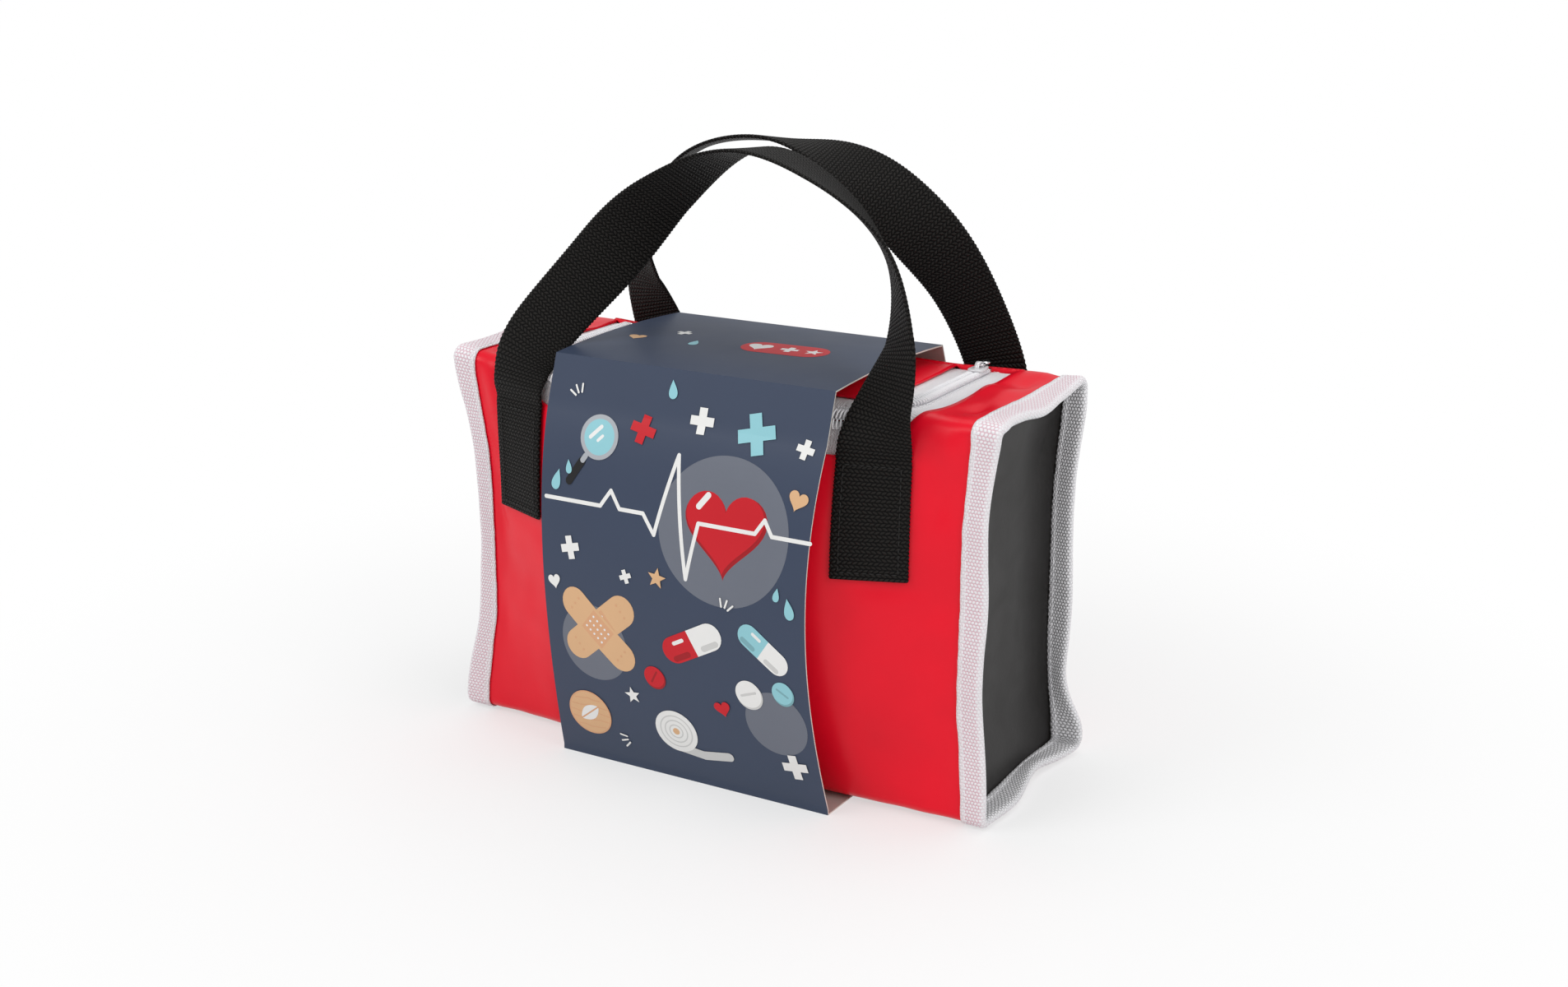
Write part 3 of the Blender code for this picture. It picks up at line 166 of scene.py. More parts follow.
# Soft waves of the sewn flanges: middle, reach and push
FLANGE_WAVES = (
    ((0.130, 0.047, 0.009), 0.012, (0.0030, 0.0015, 0.0002)),
    ((0.130, 0.047, 0.034), 0.015, (-0.0028, -0.0014, 0.0000)),
    ((0.130, 0.047, 0.105), 0.045, (-0.0016, -0.0008, 0.0000)),
    ((0.130, 0.047, 0.168), 0.012, (-0.0006, -0.0004, 0.0010)),
    ((0.130, 0.026, 0.170), 0.014, (-0.0008, 0.0000, -0.0016)),
    ((0.130, 0.000, 0.170), 0.016, (0.0000, 0.0000, -0.0030)),
    ((0.130, -0.024, 0.170), 0.010, (-0.0012, 0.0000, -0.0012)),
    ((0.130, -0.042, 0.168), 0.009, (0.0018, -0.0010, -0.0004)),
    ((0.130, 0.012, 0.004), 0.016, (-0.0025, 0.0000, 0.0016)),
    ((0.130, -0.022, 0.004), 0.012, (0.0012, 0.0000, 0.0006)),
    ((-0.130, -0.047, 0.165), 0.016, (-0.0010, -0.0015, 0.0015)),
    ((-0.130, -0.047, 0.095), 0.035, (0.0022, 0.0000, 0.0000)),
    ((-0.130, -0.047, 0.008), 0.030, (-0.0038, 0.0000, 0.0000)),
    ((-0.130, 0.000, 0.170), 0.025, (0.0000, 0.0000, 0.0030)),
)

# Soft folds of the red cloth: ends of each fold's line, its width and its height
FOLDS = (
    ((0.119, -0.046, 0.164), (0.098, -0.052, 0.150), 0.0050, 0.0016),
    ((0.119, -0.048, 0.150), (0.104, -0.053, 0.128), 0.0060, -0.0014),
    ((0.116, -0.026, 0.171), (0.108, -0.036, 0.169), 0.0060, -0.0022),
    ((0.116, -0.006, 0.172), (0.108, 0.002, 0.172), 0.0075, 0.0016),
    ((0.116, 0.020, 0.172), (0.108, 0.014, 0.172), 0.0060, -0.0018),
    ((0.115, 0.036, 0.171), (0.109, 0.034, 0.171), 0.0050, 0.0012),
    ((0.086, -0.058, 0.090), (0.112, -0.051, 0.060), 0.0120, 0.0012),
    ((0.080, -0.060, 0.030), (0.116, -0.049, 0.024), 0.0100, -0.0014),
    ((-0.116, -0.047, 0.163), (-0.106, -0.052, 0.146), 0.0060, 0.0020),
    ((-0.116, -0.036, 0.170), (-0.109, -0.026, 0.171), 0.0070, -0.0022),
    ((-0.116, -0.012, 0.171), (-0.109, -0.006, 0.171), 0.0070, 0.0014),
    ((-0.116, 0.012, 0.171), (-0.108, 0.020, 0.172), 0.0070, -0.0016),
    ((-0.118, -0.049, 0.110), (-0.106, -0.053, 0.080), 0.0080, -0.0014),
    ((-0.116, 0.048, 0.120), (-0.098, 0.051, 0.090), 0.0090, 0.0014),
    ((0.116, 0.048, 0.060), (0.096, 0.052, 0.085), 0.0090, 0.0014),
    ((0.116, 0.048, 0.140), (0.100, 0.050, 0.150), 0.0080, -0.0014),
)


SRGB_KNEE, SRGB_SLOPE, SRGB_OFFSET, SRGB_POWER = 10, 12.92, 0.055, 2.4


def srgb(red, green, blue):
    """Linear colour from the 0 to 255 values of a colour picker."""
    return tuple(value / 255 / SRGB_SLOPE if value <= SRGB_KNEE
                 else ((value / 255 + SRGB_OFFSET) / (1 + SRGB_OFFSET)) ** SRGB_POWER
                 for value in (red, green, blue))


def length(name, description, default):
    return FloatProperty(name=name, description=description, default=default, unit="LENGTH", min=0,
                         precision=5)


def colour(name, description, default):
    return FloatVectorProperty(name=name, description=description, default=default, subtype="COLOR", min=0,
                               max=1)


class CaseSizes(bpy.types.PropertyGroup):
    """Sizes of the soft parts and of their patterns."""
    strap_width: length("Strap width", "Width of the handle webbing", 0.0285)
    strap_thickness: length("Strap thickness", "Thickness of the handle webbing", 0.0016)
    weave_pitch: length("Weave pitch", "Distance between the webbing's ribs", 0.0016)
    binding_thickness: length("Binding thickness", "Thickness of the tape folded over the seams", 0.0005)
    flange_wave: length("Flange wave", "How far the sewn flanges wander", 0.0013)
    cloth_dent: length("Cloth dents", "Depth of the shallow dents in the cloth", 0.0007)
    coil_pitch: length("Coil pitch", "Distance between two turns of the zip's coil", 0.0016)
    coil_thread: length("Coil thread", "Radius of the zip's nylon thread", 0.000430)
    stitch_length: length("Stitch length", "Length of one sewn stitch", 0.0022)
    ink_height: length("Ink height", "Distance of the printed shapes from the board", 0.00006)


class CaseColours(bpy.types.PropertyGroup):
    """Colours of the cloth, the card, its print and the play tools."""
    red_cloth: colour("Red cloth", "Coated cloth of the case", srgb(242, 10, 40))
    black_cloth: colour("Black cloth", "Coated cloth of the two ends", srgb(31, 29, 28))
    white_tape: colour("White tape", "Binding, zip tape and thread", srgb(252, 251, 254))
    webbing: colour("Webbing", "Handles", srgb(22, 20, 19))
    slate: colour("Slate", "Ground colour of the card sleeve", srgb(60, 71, 93))
    board: colour("Board", "Cut edges and back of the card", srgb(226, 222, 214))
    red_ink: colour("Red ink", "Red of the print", srgb(206, 24, 38))
    white_ink: colour("White ink", "White of the print", srgb(242, 242, 240))
    turquoise: colour("Turquoise", "Turquoise of the print and of the bottle", srgb(150, 208, 218))
    beige: colour("Beige", "Wood tone of the print", srgb(226, 182, 138))
    dark_ink: colour("Dark ink", "Black of the print", srgb(30, 30, 32))
    silver: colour("Silver", "Silver of the print and of the hammer's handle", srgb(176, 180, 186))
    wood: colour("Wood", "Bare beech of the play tools", srgb(222, 176, 132))


# Shapes shared by the soft pieces


def cubic(shares, t):
    a, b, c, d = shares
    s = 1 - t
    return a * s ** 3 + 3 * b * t * s * s + 3 * c * t * t * s + d * t ** 3


def smooth(share):
    share = min(1, max(0, share))
    return share * share * (3 - 2 * share)


def swell(x):
    return math.cos(math.pi / 2 * abs(x) / HALF_W) ** BULGE_FALL if abs(x) < HALF_W else 0


def tuck(x):
    return 1 - smooth((abs(x) - TUCK_HALF_W) / (HALF_W - TUCK_HALF_W))


def waist(x, z):
    """How far the end seams are drawn in at height z, shared out over the case's length."""
    rise = z / CASE_H
    depth = WAIST_LEFT if x < 0 else WAIST_RIGHT
    pinch = smooth(rise / WAIST_RAMP_SHARE) * smooth((1 - rise) / WAIST_RAMP_SHARE)
    reach = min(1, abs(x) / HALF_W)
    return math.copysign(depth * pinch * reach * reach, x)


def skin(x, y, z):
    """Outer face of the bulging case at a point of the plain box profile."""
    rise = z / CASE_H
    depth = (y + HALF_D) / CASE_D
    front = -FRONT_BULGE * cubic(FRONT_BULGE_SHARES, rise) * swell(x)
    back = BACK_BULGE * cubic(BACK_BULGE_SHARES, rise) * swell(x) - BACK_TUCK * rise ** TUCK_RISE * tuck(x)
    crown = max(0, 1 - (abs(x) / HALF_W) ** CROWN_FALL) * (1 - (2 * depth - 1) ** CROWN_FLATNESS)
    lift = TOP_CROWN * crown * rise ** CROWN_FALL
    return Vector((x - waist(x, z), y + (1 - depth) * front + depth * back, z + lift + BASE_Z))


def shoulder_radius(x):
    return END_SHOULDER_R + (MID_SHOULDER_R - END_SHOULDER_R) * swell(x)


def top_length(x):
    r = shoulder_radius(x)
    return TOP_BAND - r + math.pi / 2 * r + CASE_D - r - BACK_FOLD_R


def top_point(x, s):
    """Point at distance s up the front, over the shoulder and back along the top."""
    r = shoulder_radius(x)
    rise = TOP_BAND - r
    arc = math.pi / 2 * r
    if s <= rise:
        return skin(x, -HALF_D, CASE_H - TOP_BAND + s)
    if s <= rise + arc:
        angle = (s - rise) / r
        return skin(x, -HALF_D + r - r * math.cos(angle), CASE_H - r + r * math.sin(angle))
    return skin(x, -HALF_D + r + s - rise - arc, CASE_H)


CENTRE = Vector((0, 0, BASE_Z + CASE_H / 2))


def normal_of(surface, a, b):
    step = FABRIC / 2
    normal = (surface(a + step, b) - surface(a - step, b)).cross(surface(a, b + step) - surface(a, b - step))
    normal.normalize()
    return -normal if normal.dot(surface(a, b) - CENTRE) < 0 else normal


def lifted(surface, a, b, height):
    return surface(a, b) + normal_of(surface, a, b) * height


def wall_face(side):
    """Front (-1) or back (1) of the bulging case as a surface of x and of the height above the ground."""
    def face(x, z):
        z -= BASE_Z
        return skin(x + waist(x, z), side * HALF_D, z)
    return face


front_face, back_face = wall_face(-1), wall_face(1)


def blend(a, b, share):
    return tuple(p + (q - p) * share for p, q in zip(a, b))


def line(y0, z0, y1, z1):
    return lambda t: (y0 + (y1 - y0) * t, z0 + (z1 - z0) * t)


def quarter(y, z, radius, start):
    """A quarter turn about (y, z) that runs backwards from a quarter past start."""
    def stretch(t):
        angle = start + (1 - t) * math.pi / 2
        return y + radius * math.cos(angle), z + radius * math.sin(angle)
    return stretch


def walk(stops, share):
    index = round(share * sum(count for count, _ in stops))
    for count, stretch in stops:
        if index <= count:
            return stretch(index / count)
        index -= count


def along_x(u):
    index = round(u * NX)
    if index > NX / 2:
        return -along_x(1 - u)
    if index <= 1:
        return -EDGE_X + FLANGE * index
    index -= 1
    if index <= STRIP_CELLS:
        return -HALF_W + (HALF_W - ZIP_EDGE_X) * index / STRIP_CELLS
    return -ZIP_EDGE_X + 2 * ZIP_EDGE_X * (index - STRIP_CELLS) / (NX - 2 - 2 * STRIP_CELLS)


def lower_profile(share):
    back, floor = BACK_FOLD_R, BOTTOM_FOLD_R
    stops = (
        (N_FOLD, quarter(HALF_D - back, CASE_H - back, back, 0)),
        (N_BACK, line(HALF_D, CASE_H - back, HALF_D, floor)),
        (N_FOLD, quarter(HALF_D - floor, floor, floor, 3 * math.pi / 2)),
        (N_FLOOR, line(HALF_D - floor, 0, -HALF_D + floor, 0)),
        (N_FOLD, quarter(-HALF_D + floor, floor, floor, math.pi)),
        (N_FRONT, line(-HALF_D, floor, -HALF_D, CASE_H - TOP_BAND)),
    )
    return walk(stops, share)


def band_stop(share):
    index = round(share * N_SIDE)
    straight = TOP_BAND - END_SHOULDER_R
    arc = math.pi / 2 * END_SHOULDER_R
    rest = top_length(EDGE_X) - straight - arc
    if index <= N_RISE:
        return straight * index / N_RISE
    if index <= N_RISE + N_FOLD:
        return straight + arc * (index - N_RISE) / N_FOLD
    return straight + arc + rest * (index - N_RISE - N_FOLD) / N_TOP


def end_ring(inset, share):
    """Point (y, z) round the plain end profile, drawn in by inset."""
    half, low, high = HALF_D - inset, inset, CASE_H - inset
    floor, back, front = BOTTOM_FOLD_R - inset, BACK_FOLD_R - inset, END_SHOULDER_R - inset
    stops = (
        (N_BACK, line(half, high - back, half, low + floor)),
        (N_FOLD, quarter(half - floor, low + floor, floor, 3 * math.pi / 2)),
        (N_FLOOR, line(half - floor, low, -half + floor, low)),
        (N_FOLD, quarter(-half + floor, low + floor, floor, math.pi)),
        (N_FRONT + N_RISE, line(-half, low + floor, -half, high - front)),
        (N_FOLD, quarter(-half + front, high - front, front, math.pi / 2)),
        (N_TOP, line(-half + front, high, half - back, high)),
        (N_FOLD, quarter(half - back, high - back, back, 0)),
    )
    return walk(stops, share)


RING_STEPS = N_BACK + N_FRONT + N_RISE + N_FLOOR + N_TOP + 4 * N_FOLD


def near(point, middle, reach):
    """Bell-shaped share of a place in what happens round a middle, none beyond three times its reach."""
    apart = (point - middle).length / reach
    return math.exp(-apart * apart) if apart < NOISE_CUT else 0


def flutter(point):
    """Push that the sewn flange and its binding have at a place, none inside the seam."""
    inner = HALF_W - abs(waist(point.x, point.z - BASE_Z)) - SEAM_FADE
    weight = smooth((abs(point.x) - inner) / (FLANGE + SEAM_FADE))
    if not weight:
        return Vector()
    side = math.copysign(1, point.x)
    wander = bpy.context.scene.case_sizes.flange_wave
    near_wall = math.exp(-abs(HALF_D - abs(point.y)) / CORNER_FADE)
    near_rim = math.exp(-min(abs(point.z - BASE_Z), abs(BASE_Z + CASE_H - point.z)) / CORNER_FADE)
    out = Vector((0, math.copysign(near_wall, point.y), math.copysign(near_rim, point.z - CENTRE.z)))
    spot = Vector((point.y * FLANGE_NOISE, point.z * FLANGE_NOISE, side * 2))
    push = out * (noise.noise(spot) * wander)
    push.x = side * noise.noise(spot + Vector((9, 0, 4))) * wander
    push += out * (noise.noise(spot * FLANGE_OCTAVE) * wander / 4)
    for middle, reach, shift in FLANGE_WAVES:
        push += Vector(shift) * near(point, Vector(middle), reach)
    if push.z < 0 and point.z < FLOOR_ZONE:
        push.z *= FLOOR_SHARE
    return push * weight


def dent(point):
    """Height of the cloth's folds and dents at a place, none under the sleeve and the strap ends."""
    height = 0
    for start, end, width, rise in FOLDS:
        start, end = Vector(start), Vector(end)
        run = end - start
        t = min(1, max(0, (point - start).dot(run) / run.length_squared))
        height += rise * near(point - start, run * t, width) * (1 - FOLD_LOSS * t)
    seam = abs(point.x) - HALF_W + abs(waist(point.x, point.z - BASE_Z))
    pucker = math.exp(-abs(seam) / PUCKER_REACH) * PUCKER_HEIGHT
    height += pucker * noise.noise(Vector((0, point.y * PUCKER_NOISE, point.z * PUCKER_NOISE)))
    depth = bpy.context.scene.case_sizes.cloth_dent
    height += depth * noise.noise(point * DENT_NOISE)
    height += depth * FINE_DENT_SHARE * noise.noise(point * FINE_DENT_NOISE)
    free = smooth((abs(point.x) - SLEEVE_FREE_X) / SLEEVE_FADE) * smooth((-DENT_INSIDE - seam) / DENT_FADE)
    foot = 0
    if FOOT_LOW < point.z < FOOT_END:
        foot = 1 - smooth((abs(abs(point.x) - FOOT_X) - FOOT_REACH) / FOOT_FADE)
        foot *= smooth((point.z - FOOT_LOW) / FOOT_LOW_FADE)
        foot *= 1 - smooth((point.z - FOOT_HIGH) / FOOT_HIGH_FADE)
    on_wall = smooth((abs(point.y) - WALL_Y) / FOOT_FADE)
    return height * free * (1 - foot * on_wall)


def clear_of_floor(bm):
    for vert in bm.verts:
        vert.co.z = max(vert.co.z, FLOOR_CLEAR)


# Mesh helpers


def running(points):
    """Distance along a path at each of its points."""
    run = [0]
    for a, b in zip(points, points[1:]):
        run.append(run[-1] + math.dist(a, b))
    return run


def faces_of(verts):
    return {face for vert in verts if vert.is_valid for face in vert.link_faces}


def sheet(bm, across, along, place, chart=None):
    """Adds a grid of faces: place(u, v) sets its corners, chart(u, v) their place on the cut cloth."""
    layer = bm.loops.layers.uv.verify()
    made = bmesh.ops.create_grid(bm, x_segments=across, y_segments=along, size=1)["verts"]
    charted = {}
    for vert in made:
        u, v = (vert.co.x + 1) / 2, (vert.co.y + 1) / 2
        vert.co = place(u, v)
        charted[vert] = chart(u, v) if chart else (u, v)
    for face in faces_of(made):
        for loop in face.loops:
            loop[layer].uv = charted[loop.vert]


WELD = FABRIC / 100


def weld(bm, centre=CENTRE):
    """Joins a sheet's shared edges and turns its faces away from a centre."""
    bmesh.ops.remove_doubles(bm, verts=bm.verts, dist=WELD)
    bmesh.ops.recalc_face_normals(bm, faces=bm.faces)
    bm.normal_update()
    if sum(f.normal.dot(f.calc_center_median() - centre) * f.calc_area() for f in bm.faces) < 0:
        bmesh.ops.reverse_faces(bm, faces=bm.faces)
        bm.normal_update()


def finish_piece(name, bm, materials, body, replaced=()):
    """Turns a bmesh into a smooth piece that rides on a body and stands for its CAD nodes."""
    mesh = bpy.data.meshes.new(name)
    bm.to_mesh(mesh)
    bm.free()
    for material in materials:
        mesh.materials.append(MATERIALS[material])
    mesh.shade_smooth()
    obj = bpy.data.objects.new(name, mesh)
    bpy.context.scene.collection.objects.link(obj)
    if body:
        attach(obj, body)
    if replaced:
        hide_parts(*replaced)
    return obj


def thicken(obj, thickness, offset, rim=None):
    modifier = obj.modifiers.new("Thickness", "SOLIDIFY")
    modifier.thickness = thickness
    modifier.offset = offset
    modifier.use_even_offset = True
    if rim is not None:
        modifier.material_offset_rim = rim
    return modifier


def add_box(bm, middle, size):
    """Adds a box with its own small bevel."""
    verts = bmesh.ops.create_cube(bm, size=1)["verts"]
    for vert in verts:
        vert.co = Vector(middle) + Vector([c * s for c, s in zip(vert.co, size)])
    edges = list({edge for vert in verts for edge in vert.link_edges})
    bmesh.ops.bevel(bm, geom=edges, offset=min(size) / 5, segments=2, profile=0.5, affect="EDGES", material=-1)


def add_plate(bm, count, place, thickness, height):
    """Adds a flat plate: place(x, y) moves the corners of a unit circle to their (x, y)."""
    verts = bmesh.ops.create_circle(bm, cap_ends=True, segments=count, radius=1)["verts"]
    for vert in verts:
        vert.co = (*place(vert.co.x, vert.co.y), height)
    made = bmesh.ops.extrude_face_region(bm, geom=[verts[0].link_faces[0]])["geom"]
    top = [item for item in made if isinstance(item, bmesh.types.BMVert)]
    bmesh.ops.translate(bm, verts=top, vec=(0, 0, thickness))
    return top


STITCH_SHARE = 0.806


def add_stitch(bm, middle, along, up, size, radius):
    """Adds one sewn stitch: a small long bead that lies on the cloth."""
    along = along.normalized()
    side = up.cross(along).normalized()
    for vert in bmesh.ops.create_uvsphere(bm, u_segments=6, v_segments=4, radius=1)["verts"]:
        x, y, z = vert.co
        vert.co = middle + along * (z * size / 2) + side * (x * radius) + up * (y * radius)


def stitch_row(bm, spots, radius):
    """Sews along a list of (point, up) spots: one stitch between each pair of neighbours."""
    for (start, up), (end, _) in zip(spots, spots[1:]):
        run = end - start
        if run.length > 0:
            add_stitch(bm, (start + end) / 2, run, up, run.length * STITCH_SHARE, radius)


def row_of(count, spot):
    """Spots at even steps of a share from 0 to 1."""
    return [spot(step / count) for step in range(count + 1)]


# Materials


def fill(tree, made, values):
    """Sets a node's sockets to numbers or links them to other nodes' outputs."""
    for key, value in values.items():
        if isinstance(value, bpy.types.NodeSocket):
            tree.links.new(value, made.inputs[key])
        else:
            made.inputs[key].default_value = value


def node(tree, kind, values=None, **settings):
    """Adds a shader node with its settings and its sockets' values."""
    made = tree.nodes.new(kind)
    for key, value in settings.items():
        setattr(made, key, value)
    fill(tree, made, values or {})
    return made


def maths(tree, operation, a, b=0.0, c=0.0):
    return node(tree, "ShaderNodeMath", {0: a, 1: b, 2: c}, operation=operation).outputs[0]


def mixed(tree, factor, a, b):
    """Colour between a and b; each is a colour or a socket."""
    a, b = (end if isinstance(end, bpy.types.NodeSocket) else (*end, 1) for end in (a, b))
    return node(tree, "ShaderNodeMix", {0: factor, 6: a, 7: b}, data_type="RGBA").outputs[2]


def ranged(tree, value, low, high, start=0.0, end=1.0):
    """Value between low and high as another value goes from start to end."""
    return node(tree, "ShaderNodeMapRange", {
        "Value": value, "From Min": start, "From Max": end, "To Min": low, "To Max": high}).outputs[0]


def noisy(tree, vector, scale, detail, distortion=0.0):
    return node(tree, "ShaderNodeTexNoise", {
        "Vector": vector, "Scale": scale, "Detail": detail, "Distortion": distortion}).outputs[0]


def stretched(tree, vector, scale):
    return node(tree, "ShaderNodeMapping", {"Vector": vector, "Scale": scale}).outputs[0]


def new_group(name, inputs, build):
    """Makes a shader node group round what build(group, given) returns: its outputs by name."""
    group = bpy.data.node_groups.new(name, "ShaderNodeTree")
    group.interface.new_socket("Vector", in_out="INPUT", socket_type="NodeSocketVector")
    for title, default in inputs.items():
        group.interface.new_socket(title, in_out="INPUT", socket_type="NodeSocketFloat").default_value = default
    made = build(group, group.nodes.new("NodeGroupInput").outputs)
    for title in made:
        group.interface.new_socket(title, in_out="OUTPUT", socket_type="NodeSocketFloat")
    fill(group, group.nodes.new("NodeGroupOutput"), made)
    return group


# Patterns: scales in turns per metre, and the shares in which they mix
FIBRE_STRETCH, FIBRE_LOW = (900.0, 5200.0, 1.0), 0.75
PEBBLE_POWER, ROW_SHIFT, GAP_START, GAP_END = 0.75, 0.25, 0.28, 0.60
GRAIN_SCALE, PEEL_SCALE, BROAD_SCALE, SMUDGE_SCALE = 1300.0, 420.0, 24.0, 60.0
SMUDGE_DISTORTION = 0.6
BEECH_STRETCH, FLECK_STRETCH = (14.0, 260.0, 260.0), (180.0, 1500.0, 1500.0)
FLECK_START, FLECK_END, FLECK_SHARE = 0.05, 0.25, 0.3
BOARD_FIBRE_SCALE, BOARD_RUB_SCALE = 900.0, 35.0


def weave_group(group, given):
    """Rows of staggered slanting threads, on a chart in metres: their height, and the gaps between them."""
    def calc(operation, *values):
        return maths(group, operation, *values)

    split = node(group, "ShaderNodeSeparateXYZ", {0: given["Vector"]}).outputs
    column = calc("MULTIPLY", split["Y"], given["Along"])
    place = calc("FRACT", column)
    parity = calc("MULTIPLY_ADD", calc("MODULO", calc("FLOOR", column), 2.0), 2.0, -1.0)
    lean = calc("MULTIPLY", calc("MULTIPLY", calc("SUBTRACT", place, 0.5), parity), given["Slant"])
    row = calc("MULTIPLY_ADD", parity, ROW_SHIFT, calc("MULTIPLY_ADD", split["X"], given["Across"], lean))
    across = calc("SINE", calc("MULTIPLY", place, math.pi))
    along = calc("ABSOLUTE", calc("SINE", calc("MULTIPLY", row, math.pi)))
    pebble = calc("POWER", calc("MULTIPLY", across, along), PEBBLE_POWER)
    fibre = noisy(group, stretched(group, given["Vector"], FIBRE_STRETCH), 1.0, 2.0)
    return {"Height": calc("MULTIPLY", pebble, calc("MULTIPLY_ADD", fibre, 0.5, FIBRE_LOW)),
            "Gaps": ranged(group, pebble, 1.0, 0.0, GAP_START, GAP_END)}


def coating_group(group, given):
    """Coated cloth: fine grain over a faint woven ground, and slow changes of tone."""
    place = node(group, "ShaderNodeVectorMath", {0: given["Vector"], "Scale": given["Scale"]},
                 operation="SCALE").outputs[0]
    grain = node(group, "ShaderNodeTexVoronoi", {"Vector": place, "Scale": GRAIN_SCALE}, feature="SMOOTH_F1")
    peel = noisy(group, place, PEEL_SCALE, 3.0)
    return {"Height": maths(group, "MULTIPLY_ADD", grain.outputs["Distance"], 0.5, peel),
            "Tone": noisy(group, place, BROAD_SCALE, 4.0),
            "Smudge": noisy(group, place, SMUDGE_SCALE, 5.0, SMUDGE_DISTORTION)}


def wood_group(group, given):
    """Beech: long fine fibres with short dark flecks along X."""
    fibre = noisy(group, stretched(group, given["Vector"], BEECH_STRETCH), 1.0, 5.0)
    fleck_way = stretched(group, given["Vector"], FLECK_STRETCH)
    fleck = node(group, "ShaderNodeTexVoronoi", {"Vector": fleck_way, "Scale": 1.0}).outputs["Distance"]
    dots = ranged(group, fleck, 0.0, 1.0, FLECK_START, FLECK_END)
    lit = maths(group, "MULTIPLY_ADD", dots, FLECK_SHARE, 1 - FLECK_SHARE)
    return {"Tone": maths(group, "MULTIPLY", fibre, lit), "Height": maths(group, "MULTIPLY", fibre, dots)}


def paper_group(group, given):
    """Printed board: fibres under the ink, and rubbed spots."""
    return {"Height": noisy(group, given["Vector"], BOARD_FIBRE_SCALE, 6.0),
            "Rub": noisy(group, given["Vector"], BOARD_RUB_SCALE, 6.0)}


GROUPS = {
    "Weave": (weave_group, {"Across": 770.0, "Along": 600.0, "Slant": 0.35}),
    "Coating": (coating_group, {"Scale": 1.0}),
    "Beech": (wood_group, {}),
    "Board": (paper_group, {}),
}
MATERIALS = {}


def placed_group(tree, name, values):
    """Puts a group in a material and fills its inputs."""
    made = node(tree, "ShaderNodeGroup", node_tree=bpy.data.node_groups[name])
    fill(tree, made, values)
    return made.outputs


COAT_ROUGHNESS = 0.18


def new_material(name, roughness, metallic=0.0, coat=0.0, sheen=0.0, specular=0.5):
    """Starts a material; returns its tree, its shader and its place sockets."""
    material = bpy.data.materials.new(name)
    material.use_nodes = True
    tree = material.node_tree
    shader = tree.nodes["Principled BSDF"]
    fill(tree, shader, {"Roughness": roughness, "Metallic": metallic, "Specular IOR Level": specular,
                        "Coat Weight": coat, "Coat Roughness": COAT_ROUGHNESS, "Sheen Weight": sheen})
    MATERIALS[name] = material
    return tree, shader, tree.nodes.new("ShaderNodeTexCoord").outputs


def darker(tint, share):
    return tuple(value * share for value in tint)


def dress(tree, shader, colour_out, rough_out, rough_range, height, relief, strength=1.0):
    """Links a pattern to a shader: its colour, its roughness over a range, and its relief in metres."""
    bumped = node(tree, "ShaderNodeBump", {"Height": height, "Distance": relief, "Strength": strength})
    fill(tree, shader, {"Base Color": colour_out, "Roughness": ranged(tree, rough_out, *rough_range),
                        "Normal": bumped.outputs[0]})


# Looks: how far the shade goes below the tint, and the roughness below and above its middle
CLOTH_SHADE, CLOTH_ROUGH, CLOTH_RELIEF = 0.86, (0.06, 0.10), 0.05 * MM
CLOTH_SPECULAR, CLOTH_TONES = 0.20, (-0.3, 1.3)
WOVEN_SHADE, WOVEN_ROUGH, WOVEN_SPECULAR = 0.90, (0.08, 0.12), 0.35
SELVEDGE_START, SELVEDGE_END, SELVEDGE_OPEN = 0.7, 1.6, 0.25
PAINT_SHADE, PAINT_ROUGH, PAINT_RELIEF = 0.88, (0.05, 0.12), 0.02 * MM
PAINT_SCALE, PAINT_STRENGTH = 1.6, 0.4
PRINT_SHADE, PRINT_ROUGH, PRINT_RELIEF = 0.90, (0.04, 0.10), 0.02 * MM
PRINT_COAT, PRINT_SPECULAR = 0.05, 0.25
WOOD_SHADE, WOOD_ROUGH, WOOD_RELIEF = (0.62, 0.50, 0.40), (0.58, 0.44), 0.05 * MM


def coated_cloth(name, tint, rough, coat):
    tree, shader, place = new_material(name, rough, coat=coat, specular=CLOTH_SPECULAR)
    cloth = placed_group(tree, "Coating", {"Vector": place["Object"]})
    tone = mixed(tree, ranged(tree, cloth["Tone"], *CLOTH_TONES), darker(tint, CLOTH_SHADE), tint)
    dress(tree, shader, tone, cloth["Smudge"], (rough - CLOTH_ROUGH[0], rough + CLOTH_ROUGH[1]),
          cloth["Height"], CLOTH_RELIEF, 0.5)


